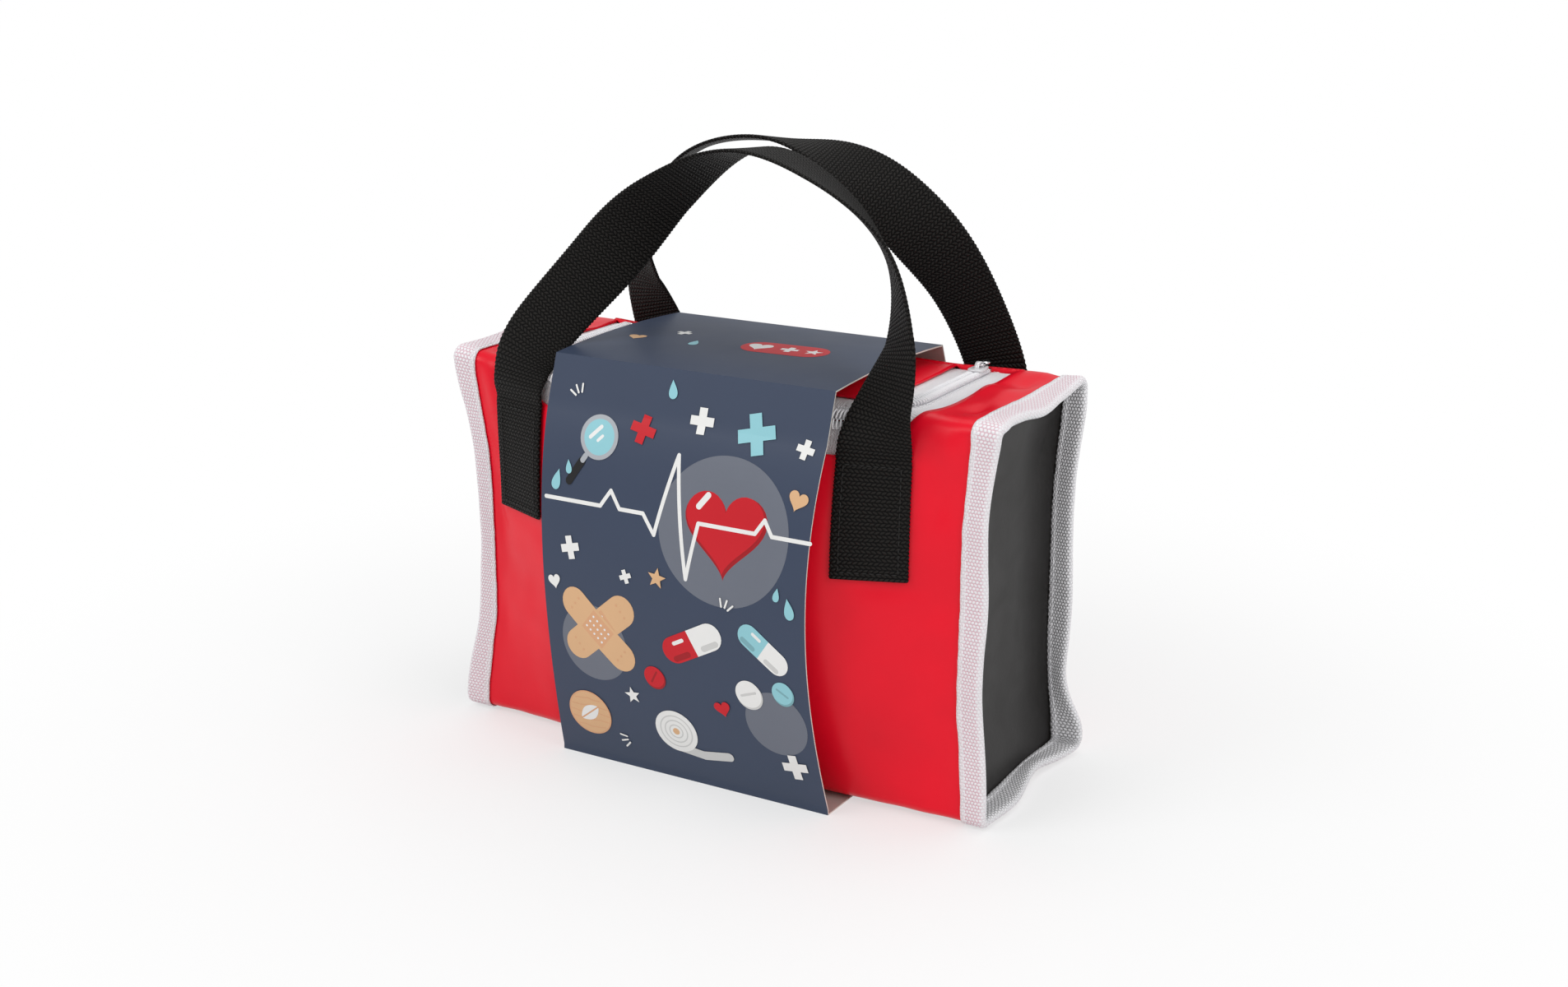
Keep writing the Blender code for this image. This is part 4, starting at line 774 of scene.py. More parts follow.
def woven(name, tint, gap_tint, threads, depth, rough, sheen, selvedge=None, specular=WOVEN_SPECULAR):
    """Woven tape or webbing on its cloth chart; selvedge is its closed edge's width and the tape's width."""
    tree, shader, place = new_material(name, rough, sheen=sheen, specular=specular)
    across, along, slant = threads
    weave = placed_group(tree, "Weave", {"Vector": place["UV"], "Across": across, "Along": along,
                                         "Slant": slant})
    gaps = weave["Gaps"]
    if selvedge:
        edge, width = selvedge
        across_place = node(tree, "ShaderNodeSeparateXYZ", {0: place["UV"]}).outputs["X"]
        from_fold = maths(tree, "ABSOLUTE", maths(tree, "SUBTRACT", across_place, width / 2))
        from_rim = maths(tree, "SUBTRACT", width / 2, from_fold)
        open_share = ranged(tree, maths(tree, "MINIMUM", from_fold, from_rim), SELVEDGE_OPEN, 1.0,
                            edge * SELVEDGE_START, edge * SELVEDGE_END)
        gaps = maths(tree, "MULTIPLY", gaps, open_share)
    soil = placed_group(tree, "Coating", {"Vector": place["Object"]})
    tone = mixed(tree, ranged(tree, soil["Tone"], 0.0, 1.0), darker(tint, WOVEN_SHADE), tint)
    # The gaps between threads take gap_tint: the red or black cloth seen through for the bindings, a painted
    # shade for the webbing and the zip tape
    dress(tree, shader, mixed(tree, gaps, tone, gap_tint), weave["Height"],
          (rough + WOVEN_ROUGH[1], rough - WOVEN_ROUGH[0]), weave["Height"], depth)


def painted(name, tint, rough, metallic=0.0, coat=0.4):
    """Paint, lacquer or metal with smudges and a few rubbed specks."""
    tree, shader, place = new_material(name, rough, metallic, coat)
    touch = placed_group(tree, "Coating", {"Vector": place["Object"], "Scale": PAINT_SCALE})
    dress(tree, shader, mixed(tree, touch["Tone"], darker(tint, PAINT_SHADE), tint), touch["Smudge"],
          (rough - PAINT_ROUGH[0], rough + PAINT_ROUGH[1]), touch["Height"], PAINT_RELIEF, PAINT_STRENGTH)


def printed(name, tint, rough=0.42):
    """Ink on board."""
    tree, shader, place = new_material(name, rough, coat=PRINT_COAT, specular=PRINT_SPECULAR)
    board = placed_group(tree, "Board", {"Vector": place["Object"]})
    dress(tree, shader, mixed(tree, board["Rub"], darker(tint, PRINT_SHADE), tint), board["Rub"],
          (rough - PRINT_ROUGH[0], rough + PRINT_ROUGH[1]), board["Height"], PRINT_RELIEF, 0.5)


def bare_wood(name, tint):
    tree, shader, place = new_material(name, 0.5)
    wood = placed_group(tree, "Beech", {"Vector": place["Object"]})
    shade = tuple(value * factor for value, factor in zip(tint, WOOD_SHADE))
    dress(tree, shader, mixed(tree, wood["Tone"], shade, tint), wood["Tone"], WOOD_ROUGH, wood["Height"],
          WOOD_RELIEF)


# Tapes and webbing: threads per metre across and along with their slant, depth, roughness, sheen, and the rest
WEBBING_LOOK = {"depth": 0.9 * MM, "rough": 0.54, "sheen": 0.0, "specular": 0.16}
WEBBING_ACROSS, WEBBING_SLANT = 0.80, 0.6
# Webbing: a paler grey that its threads are lifted towards, and by how much, as a painted highlight; and how
# dark its gaps are against its colour, as a painted shade
WEBBING_HIGHLIGHT_TINT, WEBBING_HIGHLIGHT_SHARE, WEBBING_GAP_SHADE = (0.10, 0.09, 0.08), 0.12, 0.15
BINDING_LOOK = {"threads": (700.0, 700.0, 0.2), "depth": 0.35 * MM, "rough": 0.75, "sheen": 0.1,
                "selvedge": (1.6 * MM, 0.0215)}
RED_BEHIND, RED_SEEN, BLACK_SEEN = (0.62, 0.08, 0.20), 0.46, 0.62
ZIP_TAPE_LOOK = {"threads": (1350.0, 1000.0, 1.0), "depth": 0.22 * MM, "rough": 0.75, "sheen": 0.1}
# How dark the zip tape's gaps are against its white: a painted shade between the threads
ZIP_TAPE_GAP_SHADE = 0.84
LACQUER, STEEL, FELT = (0.84, 0.84, 0.86), (0.80, 0.80, 0.82), (0.66, 0.42, 0.30)

# Coated cloths: colour, roughness and coat
CLOTHS = {"red_cloth": ("red_cloth", 0.34, 0.07), "black_cloth": ("black_cloth", 0.42, 0.03)}

# Paints, lacquers, metals and threads: colour, how dark, roughness, metallic share and coat
PAINTS = {
    "zip_nylon": ("white_tape", 1.0, 0.34, 0.0, 0.2),
    "zip_lacquer": (LACQUER, 1.0, 0.25, 0.15, 0.4),
    "bright_metal": (STEEL, 1.0, 0.18, 1.0, 0.0),
    "white_thread": ("white_tape", 1.0, 0.7, 0.0, 0.0),
    "black_thread": ("webbing", 0.8, 0.55, 0.0, 0.0),
    "red_thread": ("red_cloth", 0.75, 0.5, 0.0, 0.0),
    "red_paint": ("red_ink", 1.0, 0.22, 0.0, 0.4),
    "white_paint": ("white_ink", 1.0, 0.26, 0.0, 0.4),
    "turquoise_paint": ("turquoise", 1.0, 0.24, 0.0, 0.4),
    "silver_paint": ("silver", 1.0, 0.30, 0.6, 0.4),
    "black_paint": ("dark_ink", 1.0, 0.24, 0.0, 0.4),
    "felt": (FELT, 1.0, 0.9, 0.0, 0.0),
}

# Inks and bare board: colour, how dark, and roughness
INK_ROUGH = 0.42
PRINTS = {
    "slate_print": ("slate", 1.0, INK_ROUGH),
    "board_edge": ("board", 1.0, 0.8),
    # The card's inner face: the board colour darkened to 0.75, a painted shade where it faces the case
    "board_back": ("board", 0.75, 0.85),
    "red_shade": ("red_ink", 0.62, INK_ROUGH),
    "turquoise_shade": ("turquoise", 0.70, INK_ROUGH),
    "white_shade": ("white_ink", 0.74, INK_ROUGH),
    **{ink: (ink, 1.0, INK_ROUGH)
       for ink in ("red_ink", "white_ink", "turquoise", "beige", "dark_ink", "silver")},
}
LIGHT_SHARE, SHADE_SHARE = 0.12, 0.14


class CASE_OT_finishes(bpy.types.Operator):
    """Makes the shared node groups and every material of the case"""
    bl_idname = "doctor_case.finishes"
    bl_label = "Finishes"

    def execute(self, context):
        def tint(given, share=1.0):
            if isinstance(given, str):
                given = getattr(context.scene.case_colours, given)
            return darker(given, share)

        for name, (build, inputs) in GROUPS.items():
            new_group(name, inputs, build)
        for name, (given, *look) in CLOTHS.items():
            coated_cloth(name, tint(given), *look)
        for name, (given, share, *look) in PAINTS.items():
            painted(name, tint(given, share), *look)
        for name, (given, share, rough) in PRINTS.items():
            printed(name, tint(given, share), rough)
        printed("slate_light", blend(tint("slate"), (1, 1, 1), LIGHT_SHARE))
        printed("beige_shade", blend(tint("beige"), tint("red_ink"), SHADE_SHARE))
        bare_wood("beech", tint("wood"))
        web, white, black = tint("webbing"), tint("white_tape"), tint("black_cloth")
        pitch = 1 / context.scene.case_sizes.weave_pitch
        # The webbing's threads take a painted highlight, and the gaps between them a painted shade
        woven("webbing", blend(web, WEBBING_HIGHLIGHT_TINT, WEBBING_HIGHLIGHT_SHARE), darker(web, WEBBING_GAP_SHADE),
              (pitch * WEBBING_ACROSS, pitch, WEBBING_SLANT), **WEBBING_LOOK)
        woven("binding_over_red", white, blend(white, RED_BEHIND, RED_SEEN), **BINDING_LOOK)
        woven("binding_over_black", white, blend(white, black, BLACK_SEEN), **BINDING_LOOK)
        # The zip tape's gaps are its white darkened: a painted shade between the threads
        woven("zip_tape", white, darker(white, ZIP_TAPE_GAP_SHADE), **ZIP_TAPE_LOOK)
        return {"FINISHED"}


# The cloth shell


def dense(share):
    return share * (2 - share)


def strip_point(sign, s, inner, u):
    """Point across a side strip of the top, from the flange's edge over the seam to the zip."""
    index = round(u * (STRIP_CELLS + 1))
    x, place = (sign * EDGE_X, s) if index == 0 else blend((sign * HALF_W, s), inner, (index - 1) / STRIP_CELLS)
    return top_point(x, top_length(x) if s == band_stop(1) else place)


def zip_side_length():
    return top_length(ZIP_SIDE_X) - ZIP_FRONT_DROP - ZIP_CORNER_R


def zip_length():
    return 2 * zip_side_length() + math.pi * ZIP_CORNER_R + 2 * (ZIP_SIDE_X - ZIP_CORNER_R)


def zip_path(distance, offset):
    """Place (x, s) on the top at a distance along the zip, stepped outwards by offset."""
    side = zip_side_length()
    corner = math.pi / 2 * ZIP_CORNER_R
    front = 2 * (ZIP_SIDE_X - ZIP_CORNER_R)
    mirrored = distance > side + corner + front / 2
    if mirrored:
        distance = zip_length() - distance
    if distance <= side:
        x, s = -ZIP_SIDE_X - offset, top_length(ZIP_SIDE_X) - distance
    elif distance <= side + corner:
        angle = (distance - side) / ZIP_CORNER_R
        x = -ZIP_SIDE_X + ZIP_CORNER_R - (ZIP_CORNER_R + offset) * math.cos(angle)
        s = ZIP_FRONT_DROP + ZIP_CORNER_R - (ZIP_CORNER_R + offset) * math.sin(angle)
    else:
        x, s = -ZIP_SIDE_X + ZIP_CORNER_R + distance - side - corner, ZIP_FRONT_DROP - offset
    return (-x if mirrored else x), s


def zip_edge(side_name, share, offset):
    turn = zip_side_length() + math.pi / 4 * ZIP_CORNER_R
    if side_name == "left":
        return zip_path(turn * share, offset)
    if side_name == "front":
        return zip_path(turn + (zip_length() - 2 * turn) * share, offset)
    return zip_path(zip_length() - turn * (1 - share), offset)


def soften(bm):
    """Gives a welded cloth sheet its dents, and its flanges their waves."""
    moves = [(vert, vert.normal * dent(vert.co) + flutter(vert.co)) for vert in bm.verts]
    for vert, move in moves:
        vert.co += move
    clear_of_floor(bm)


# Folded strip over the lid's seam at the back: reach past the zip, heights across it and where it dips
HINGE_REACH, HINGE_STEP, HINGE_T = 1.5 * MM, 0.5 * MM, 0.4 * MM
HINGE_HEIGHTS = (-0.1, 0.30, 0.50, 0.60, 0.60, 0.50, 0.30, -0.1)
HINGE_DIPS = (1.5 * MM, 0.7 * MM, 0, 0)
HINGE_TOP_ROWS, HINGE_TURN = 4, 0.16
HINGE_STITCH_SHARE, HINGE_STITCH_LIFT, HINGE_STITCH_R = 1.6, 0.56 * MM, 0.18 * MM
WRAP_STEPS = 3 * N_FOLD + N_BACK + N_FLOOR + N_FRONT


class CASE_OT_body(bpy.types.Operator):
    """Sews the red body: front, floor, back and the strips round the lid's window"""
    bl_idname = "doctor_case.body"
    bl_label = "Red body"

    def execute(self, context):
        def left_strip(u, v):
            return strip_point(-1, band_stop(1 - v), zip_edge("left", dense(v), ZIP_TAPE_W), u)

        def right_strip(u, v):
            return strip_point(1, band_stop(v), zip_edge("right", 1 - dense(1 - v), ZIP_TAPE_W), u)

        def front_strip(u, v):
            x = along_x((1 + round(v * (NX - 2))) / NX)
            return top_point(*blend((x, 0), zip_edge("front", v, ZIP_TAPE_W), u))

        bm = bmesh.new()
        sheet(bm, NX, WRAP_STEPS, lambda u, v: skin(along_x(u), *lower_profile(v)))
        sheet(bm, STRIP_CELLS + 1, N_SIDE, left_strip)
        sheet(bm, STRIP_CELLS, NX - 2, front_strip)
        sheet(bm, STRIP_CELLS + 1, N_SIDE, right_strip)
        weld(bm)
        soften(bm)
        obj = finish_piece("red_body", bm, ["red_cloth"], "case", ["body_wrap"])
        thicken(obj, FABRIC, -1)
        self.hinge_seam(context.scene.case_sizes.stitch_length)
        return {"FINISHED"}

    def hinge_seam(self, stitch_length):
        """Folded cloth strip that covers the lid's seam at the back, with its row of stitches."""
        reach = ZIP_EDGE_X + HINGE_REACH
        last = len(HINGE_HEIGHTS) - 1

        def spot(x, k, height):
            end = top_length(x)
            if k < HINGE_TOP_ROWS:
                # Over the zip's open ends the strip dips down to the tapes
                open_end = smooth((abs(x) - ZIP_SIDE_X + ZIP_TAPE_W) / MM - 0.5)
                open_end *= smooth((ZIP_EDGE_X - abs(x)) / MM - 0.5)
                height -= HINGE_DIPS[k] * open_end
                return lifted(top_point, x, end - (HINGE_TOP_ROWS - k) * HINGE_STEP, height)
            down = k - HINGE_TOP_ROWS
            up = normal_of(top_point, x, end - MM).lerp(Vector((0, 1, 0)), HINGE_TURN * down)
            return skin(x, *lower_profile(down / WRAP_STEPS)) + up * height

        def place(u, v):
            k = round(v * last)
            return spot(reach * (2 * u - 1), k, HINGE_HEIGHTS[k] * MM)

        def stitch(share):
            x = reach * (2 * share - 1)
            return spot(x, 2, HINGE_STITCH_LIFT), normal_of(top_point, x, top_length(x) - 2 * MM)

        bm = bmesh.new()
        sheet(bm, NX, last, place)
        weld(bm)
        thicken(finish_piece("hinge_seam", bm, ["red_cloth"], "case"), HINGE_T, -1)
        bm = bmesh.new()
        count = round(2 * reach / (HINGE_STITCH_SHARE * stitch_length))
        stitch_row(bm, row_of(count, stitch), HINGE_STITCH_R)
        finish_piece("hinge_stitches", bm, ["red_thread"], "case")


class CASE_OT_lid(bpy.types.Operator):
    """Sews the lid inside the zip"""
    bl_idname = "doctor_case.lid"
    bl_label = "Lid"

    def execute(self, context):
        reach = -ZIP_TAPE_W
        ends = (zip_edge("left", 0, reach), zip_edge("right", 1, reach))
        fronts = (zip_edge("left", 1, reach), zip_edge("right", 0, reach))

        def place(u, v):
            sides = blend(zip_edge("left", 1 - v, reach), zip_edge("right", v, reach), u)
            back_x, back_s = blend(*ends, u)
            across = blend(zip_edge("front", u, reach), (back_x, top_length(back_x)), v)
            corner = blend(blend(*fronts, u), (back_x, back_s), v)
            x, s = (side + way - both for side, way, both in zip(sides, across, corner))
            return top_point(x, min(s, top_length(x)) - SEAM_GAP * v)

        bm = bmesh.new()
        sheet(bm, *LID_CELLS, place)
        weld(bm)
        for vert in bm.verts:
            free = smooth((abs(vert.co.x) - LID_FREE_X) / LID_FADE)
            vert.co += vert.normal * (LID_WAVE * free * noise.noise(vert.co * LID_NOISE))
        obj = finish_piece("lid_cloth", bm, ["red_cloth"], "lid", ["lid_panel"])
        thicken(obj, FABRIC, -1)
        return {"FINISHED"}


def end_point(side, u, step):
    """Point on a black end: its lip inside the flange, the slope into its dish, and the flat of the dish."""
    seam = HALF_W - FABRIC
    y, z = end_ring(FABRIC + LAYER_GAP, u)
    x, scale = seam - END_DISH, END_DISH_SHARE * (1 - (step - LIP_CELLS - SLOPE_CELLS) / FLAT_CELLS)
    if step <= LIP_CELLS:
        x, scale = EDGE_X + (seam - EDGE_X) * step / LIP_CELLS, 1
    elif step <= LIP_CELLS + SLOPE_CELLS:
        share = (step - LIP_CELLS) / SLOPE_CELLS
        x, scale = seam - END_DISH * smooth(share), 1 - (1 - END_DISH_SHARE) * share
    z = CASE_H / 2 + (z - CASE_H / 2) * scale
    point = Vector((side * x, y * scale, z + BASE_Z))
    point.x -= waist(point.x, z)
    if step > LIP_CELLS:
        wave = noise.noise(Vector((side * 3, point.y * END_NOISE_Y, point.z * END_NOISE_Z)))
        point.x += smooth((1 - scale) * END_FADE) * END_WAVE * wave
    return point + flutter(point)


class CASE_OT_ends(bpy.types.Operator):
    """Sews the two black ends, each a dished panel with a lip inside the flange"""
    bl_idname = "doctor_case.ends"
    bl_label = "Black ends"

    def execute(self, context):
        steps = LIP_CELLS + SLOPE_CELLS + FLAT_CELLS
        for name, side in SIDES:
            bm = bmesh.new()
            sheet(bm, RING_STEPS, steps, lambda u, v: end_point(side, u, round(v * steps)))
            weld(bm, Vector((0, 0, CENTRE.z)))
            clear_of_floor(bm)
            obj = finish_piece("black_end_" + name, bm, ["black_cloth"], "case",
                               ["end_panel_" + name])
            thicken(obj, FABRIC, 1)
        return {"FINISHED"}


SIDES = (("left", -1), ("right", 1))
THREAD_LIFT = 0.05 * MM
BINDING_STITCH_SHARE, BINDING_STITCH_R, BINDING_STITCH_ROW = 1.35, 0.20 * MM, 2


def binding_profile(thickness):
    """Cross-section (x, inset) of the tape from its free edge on the wrap to that on the end."""
    out = GAP + thickness / 2
    deep = 2 * FABRIC + LAYER_GAP + GAP + thickness / 2
    start = HALF_W + GAP
    radius = (deep + out) / 2
    tip = EDGE_X + GAP + thickness / 2 - radius
    points = [(start + (tip - start) * k / BINDING_LEG, -out) for k in range(BINDING_LEG)]
    for k in range(BINDING_TURN):
        angle = math.pi * k / BINDING_TURN
        points.append((tip + radius * math.sin(angle), -out + radius * (1 - math.cos(angle))))
    return points + [(tip + (start - tip) * k / BINDING_LEG, deep) for k in range(BINDING_LEG + 1)]


class CASE_OT_bindings(bpy.types.Operator):
    """Folds the white binding over both flanges and sews it on"""
    bl_idname = "doctor_case.bindings"
    bl_label = "Bindings"

    def execute(self, context):
        sizes = context.scene.case_sizes
        profile = binding_profile(sizes.binding_thickness)
        last = len(profile) - 1
        across = running(profile)
        run = running([end_ring(0, step / RING_STEPS) for step in range(RING_STEPS + 1)])

        def spot(side, k, u):
            x, inset = profile[k]
            y, z = end_ring(inset, u)
            if k in (0, last):
                x += BINDING_WAVE * noise.noise(Vector((y * BINDING_NOISE, z * BINDING_NOISE, k)))
            point = Vector((side * x, y, z + BASE_Z))
            point.x -= waist(point.x, z)
            return point + flutter(point)

        def stitch(side, edge, row, u):
            """Place and upward way of a stitch on one of the profile's rows, beside that leg's free edge."""
            point = spot(side, row, u)
            ring = spot(side, row, (u + 1 / RING_STEPS) % 1) - point
            up = (spot(side, edge, u) - point).cross(ring).normalized()
            outward = Vector((0, point.y, point.z - CENTRE.z)) * (1 if edge == 0 else -1)
            up = up if up.dot(outward) > 0 else -up
            return point + up * (sizes.binding_thickness / 2 + THREAD_LIFT), up

        for name, side in SIDES:
            bm = bmesh.new()
            sheet(bm, RING_STEPS, last, lambda u, v: spot(side, round(v * last), u),
                  lambda u, v: (across[round(v * last)], run[round(u * RING_STEPS)]))
            layer = bm.loops.layers.uv.verify()
            for face in bm.faces:
                share = sum(loop[layer].uv.x for loop in face.loops) / len(face.loops)
                face.material_index = 0 if share < across[-1] / 2 else 1
            weld(bm)
            clear_of_floor(bm)
            obj = finish_piece("white_binding_" + name, bm, ["binding_over_red", "binding_over_black"], "case",
                               ["binding_" + name])
            thicken(obj, sizes.binding_thickness, 0)
            bm = bmesh.new()
            count = round(run[-1] / (sizes.stitch_length * BINDING_STITCH_SHARE))
            for edge, row in ((0, BINDING_STITCH_ROW), (last, last - BINDING_STITCH_ROW)):
                stitch_row(bm, row_of(count, lambda u: stitch(side, edge, row, u)), BINDING_STITCH_R)
            finish_piece("binding_stitches_" + name, bm, ["white_thread"], "case")
        return {"FINISHED"}


# The zip


# Across the zip: the tape with its ridge, and the coil
TAPE_BASE = -FABRIC - TAPE_GAP
TAPE_START, TAPE_UNDER, TAPE_LIFT = 0.3 * MM, 3 * MM, 0.25 * MM
RIDGE_HEIGHT, RIDGE_OFFSET, RIDGE_WIDTH = 0.45 * MM, 4.6 * MM, 0.7 * MM
TAPE_WAVE, TAPE_NOISE = 0.25 * MM, 60
COIL_END, COIL_LIFT, COIL_OFFSET, COIL_WIDE, COIL_TALL = 5.5 * MM, 0.75 * MM, 1.55 * MM, 1.45 * MM, 0.85 * MM

# The inner tape is cut in pieces that lap, with a held and a free offset across it
TAPE_LAP, TAPE_HELD, TAPE_FREE = 0.4 * MM, 5.2 * MM, ZIP_TAPE_W - 0.5 * MM

# Zip stitches: offset, radius and height of the sewn row and of the picks over the ridge
SEWN_ROW, PICK_ROW = (3.3 * MM, 0.20 * MM, 0.30 * MM), (4.6 * MM, 0.16 * MM, 0.78 * MM)
PICK_SHARE, PICK_SIZE, ZIP_STITCH_END = 1.6, 1.3 * MM, 3 * MM
STOP_LIFT = 0.3 * MM


def tape_spot(distance, offset, height):
    x, s = zip_path(distance, offset)
    return lifted(top_point, x, min(s, top_length(x)), height)


def make_tape(name, way, replaced, first, last):
    """Zip tape from one distance along the zip to another."""
    total = zip_length()
    reach = ZIP_TAPE_W + TAPE_UNDER

    def along(v):
        return min(max(first + (last - first) * v, SEAM_GAP), total - SEAM_GAP)

    def place(u, v):
        distance = along(v)
        offset = TAPE_START + (reach - TAPE_START) * u
        ridge = RIDGE_HEIGHT * math.exp(-((offset - RIDGE_OFFSET) / RIDGE_WIDTH) ** 2)
        wave = TAPE_WAVE * noise.noise(Vector((distance * TAPE_NOISE, u * 2, way)))
        return tape_spot(distance, way * offset, TAPE_BASE + TAPE_LIFT + ridge + wave * u * (1 - u))

    bm = bmesh.new()
    sheet(bm, TAPE_CELLS, round(N_ZIP * (last - first) / total), place, lambda u, v: (reach * u, along(v)))
    weld(bm)
    obj = finish_piece(name, bm, ["zip_tape"], "case" if way > 0 else None, [replaced])
    thicken(obj, ZIP_TAPE_T, -1)
    return obj


def inner_tape_stops():
    """Distances that cut the inner tape where its way from the coil to the lid turns."""
    side, corner = zip_side_length(), math.pi / 2 * ZIP_CORNER_R
    front = 2 * (ZIP_SIDE_X - ZIP_CORNER_R)
    stops = [0]
    for stretch, count in ((side, 1), (corner, 5), (front, 3), (corner, 5), (side, 1)):
        stops += [stops[-1] + stretch * (k + 1) / count for k in range(count)]
    return stops


def make_coil(name, way, node_name):
    """One nylon coil: a flattened spiral that lies along the zip's middle."""
    sizes = bpy.context.scene.case_sizes
    run = zip_length() - 2 * COIL_END
    count = round(run / sizes.coil_pitch) * COIL_STEPS
    curve = bpy.data.curves.new(name, "CURVE")
    curve.dimensions = "3D"
    curve.bevel_depth = sizes.coil_thread
    curve.bevel_resolution = 1
    curve.use_fill_caps = True
    spline = curve.splines.new("POLY")
    spline.points.add(count)
    for index, point in enumerate(spline.points):
        angle = 2 * math.pi * index / COIL_STEPS + (0 if way > 0 else math.pi)
        height = TAPE_BASE + COIL_LIFT + COIL_TALL * (1 + math.sin(angle))
        offset = way * (COIL_OFFSET - COIL_WIDE * math.cos(angle))
        point.co = (*tape_spot(COIL_END + run * index / count, offset, height), 1)
    obj = bpy.data.objects.new(name, curve)
    bpy.context.scene.collection.objects.link(obj)
    curve.materials.append(MATERIALS["zip_nylon"])
    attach(obj, "case")
    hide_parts(node_name)


class CASE_OT_zip(bpy.types.Operator):
    """Makes the zip's two tapes, their coils, stitches and end stops"""
    bl_idname = "doctor_case.zip"
    bl_label = "Zip"

    def execute(self, context):
        for name, way in (("outer", 1), ("inner", -1)):
            if name == "outer":
                make_tape("zip_tape_outer", way, "zipper_tape_outer", 0, zip_length())
            else:
                self.inner_tape(way)
            make_coil("zip_coil_" + name, way, "zipper_coil_" + name)
            self.stitches(name, way, context.scene.case_sizes.stitch_length)
        bm = bmesh.new()
        stops = ["zipper_stop_left", "zipper_stop_right"]
        for stop in stops:
            low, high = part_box(stop)
            add_box(bm, (low + high) / 2 + Vector((0, 0, STOP_LIFT)), high - low)
        finish_piece("zip_end_stops", bm, ["bright_metal"], "case", stops)
        return {"FINISHED"}

    def inner_tape(self, way):
        """The lid's tape, cut in pieces that lap over each other."""
        stops = inner_tape_stops()
        for index, (first, last) in enumerate(zip(stops, stops[1:])):
            # Neighbours lap over each other, which covers their joints when the lid is up
            obj = make_tape("zip_tape_inner_%02d" % (index + 1), way, "zipper_tape_inner",
                            max(0, first - TAPE_LAP), min(zip_length(), last + TAPE_LAP))
            middle = (first + last) / 2
            start = tape_spot(middle, way * TAPE_HELD, TAPE_BASE)
            across = tape_spot(middle, way * TAPE_FREE, TAPE_BASE) - start
            run = (tape_spot(middle + MM, way * TAPE_HELD, TAPE_BASE)
                   - tape_spot(middle - MM, way * TAPE_HELD, TAPE_BASE))
            start + across - across.project(run)
            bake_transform(obj)

    def stitches(self, name, way, stitch_length):
        """A sewn row beside the coil, and slanting picks over the tape's ridge."""
        total = zip_length()

        def spots(offset, height, share):
            def spot(t):
                distance = ZIP_STITCH_END + (total - 2 * ZIP_STITCH_END) * t
                point = tape_spot(distance, way * offset, TAPE_BASE + height)
                return point, (point - CENTRE).normalized()
            return row_of(round(total / stitch_length * share), spot)

        bm = bmesh.new()
        offset, radius, height = SEWN_ROW
        stitch_row(bm, spots(offset, height, 1), radius)
        offset, radius, height = PICK_ROW
        picks = spots(offset, height, PICK_SHARE)
        for (start, up), (end, _) in zip(picks, picks[1:]):
            add_stitch(bm, start, up.cross((end - start).normalized()), up, PICK_SIZE, radius)
        finish_piece("zip_stitches_" + name, bm, ["white_thread"], "case")


# Slider: two plates, the post between them, and the bridge that holds the pull
PLATE_T, PLATE_EDGE, PLATE_HALF_L, PLATE_TOP_W, PLATE_LOW_W = 1.0 * MM, 0.3 * MM, 5.5 * MM, 8.0 * MM, 7.6 * MM
PLATE_NARROW, PLATE_ROUND_X, PLATE_ROUND_Y, PLATE_BELOW_EYE = 0.28, 0.55, 0.75, 1.6 * MM
POST_SHIFT, POST_W, POST_L = 1.2 * MM, 0.5 * MM, 3.0 * MM
BRIDGE_HALF_L, BRIDGE_RISE, BRIDGE_W, BRIDGE_T, BRIDGE_STEPS = 2.6 * MM, 2.8 * MM, 2.0 * MM, 0.7 * MM, 12

# Pull: its ring, and its tab
RING_INSET, RING_SHIFT, RING_HALF_W, RING_HALF_L = 0.6 * MM, 1.5 * MM, 1.7 * MM, 1.9 * MM
RING_WIRE_R, RING_TURN_STEPS = 0.42 * MM, 24
TAB_SHIFT, TAB_HALF_W, TAB_HALF_L, TAB_T = 5.9 * MM, 2.3 * MM, 2.6 * MM, 0.9 * MM


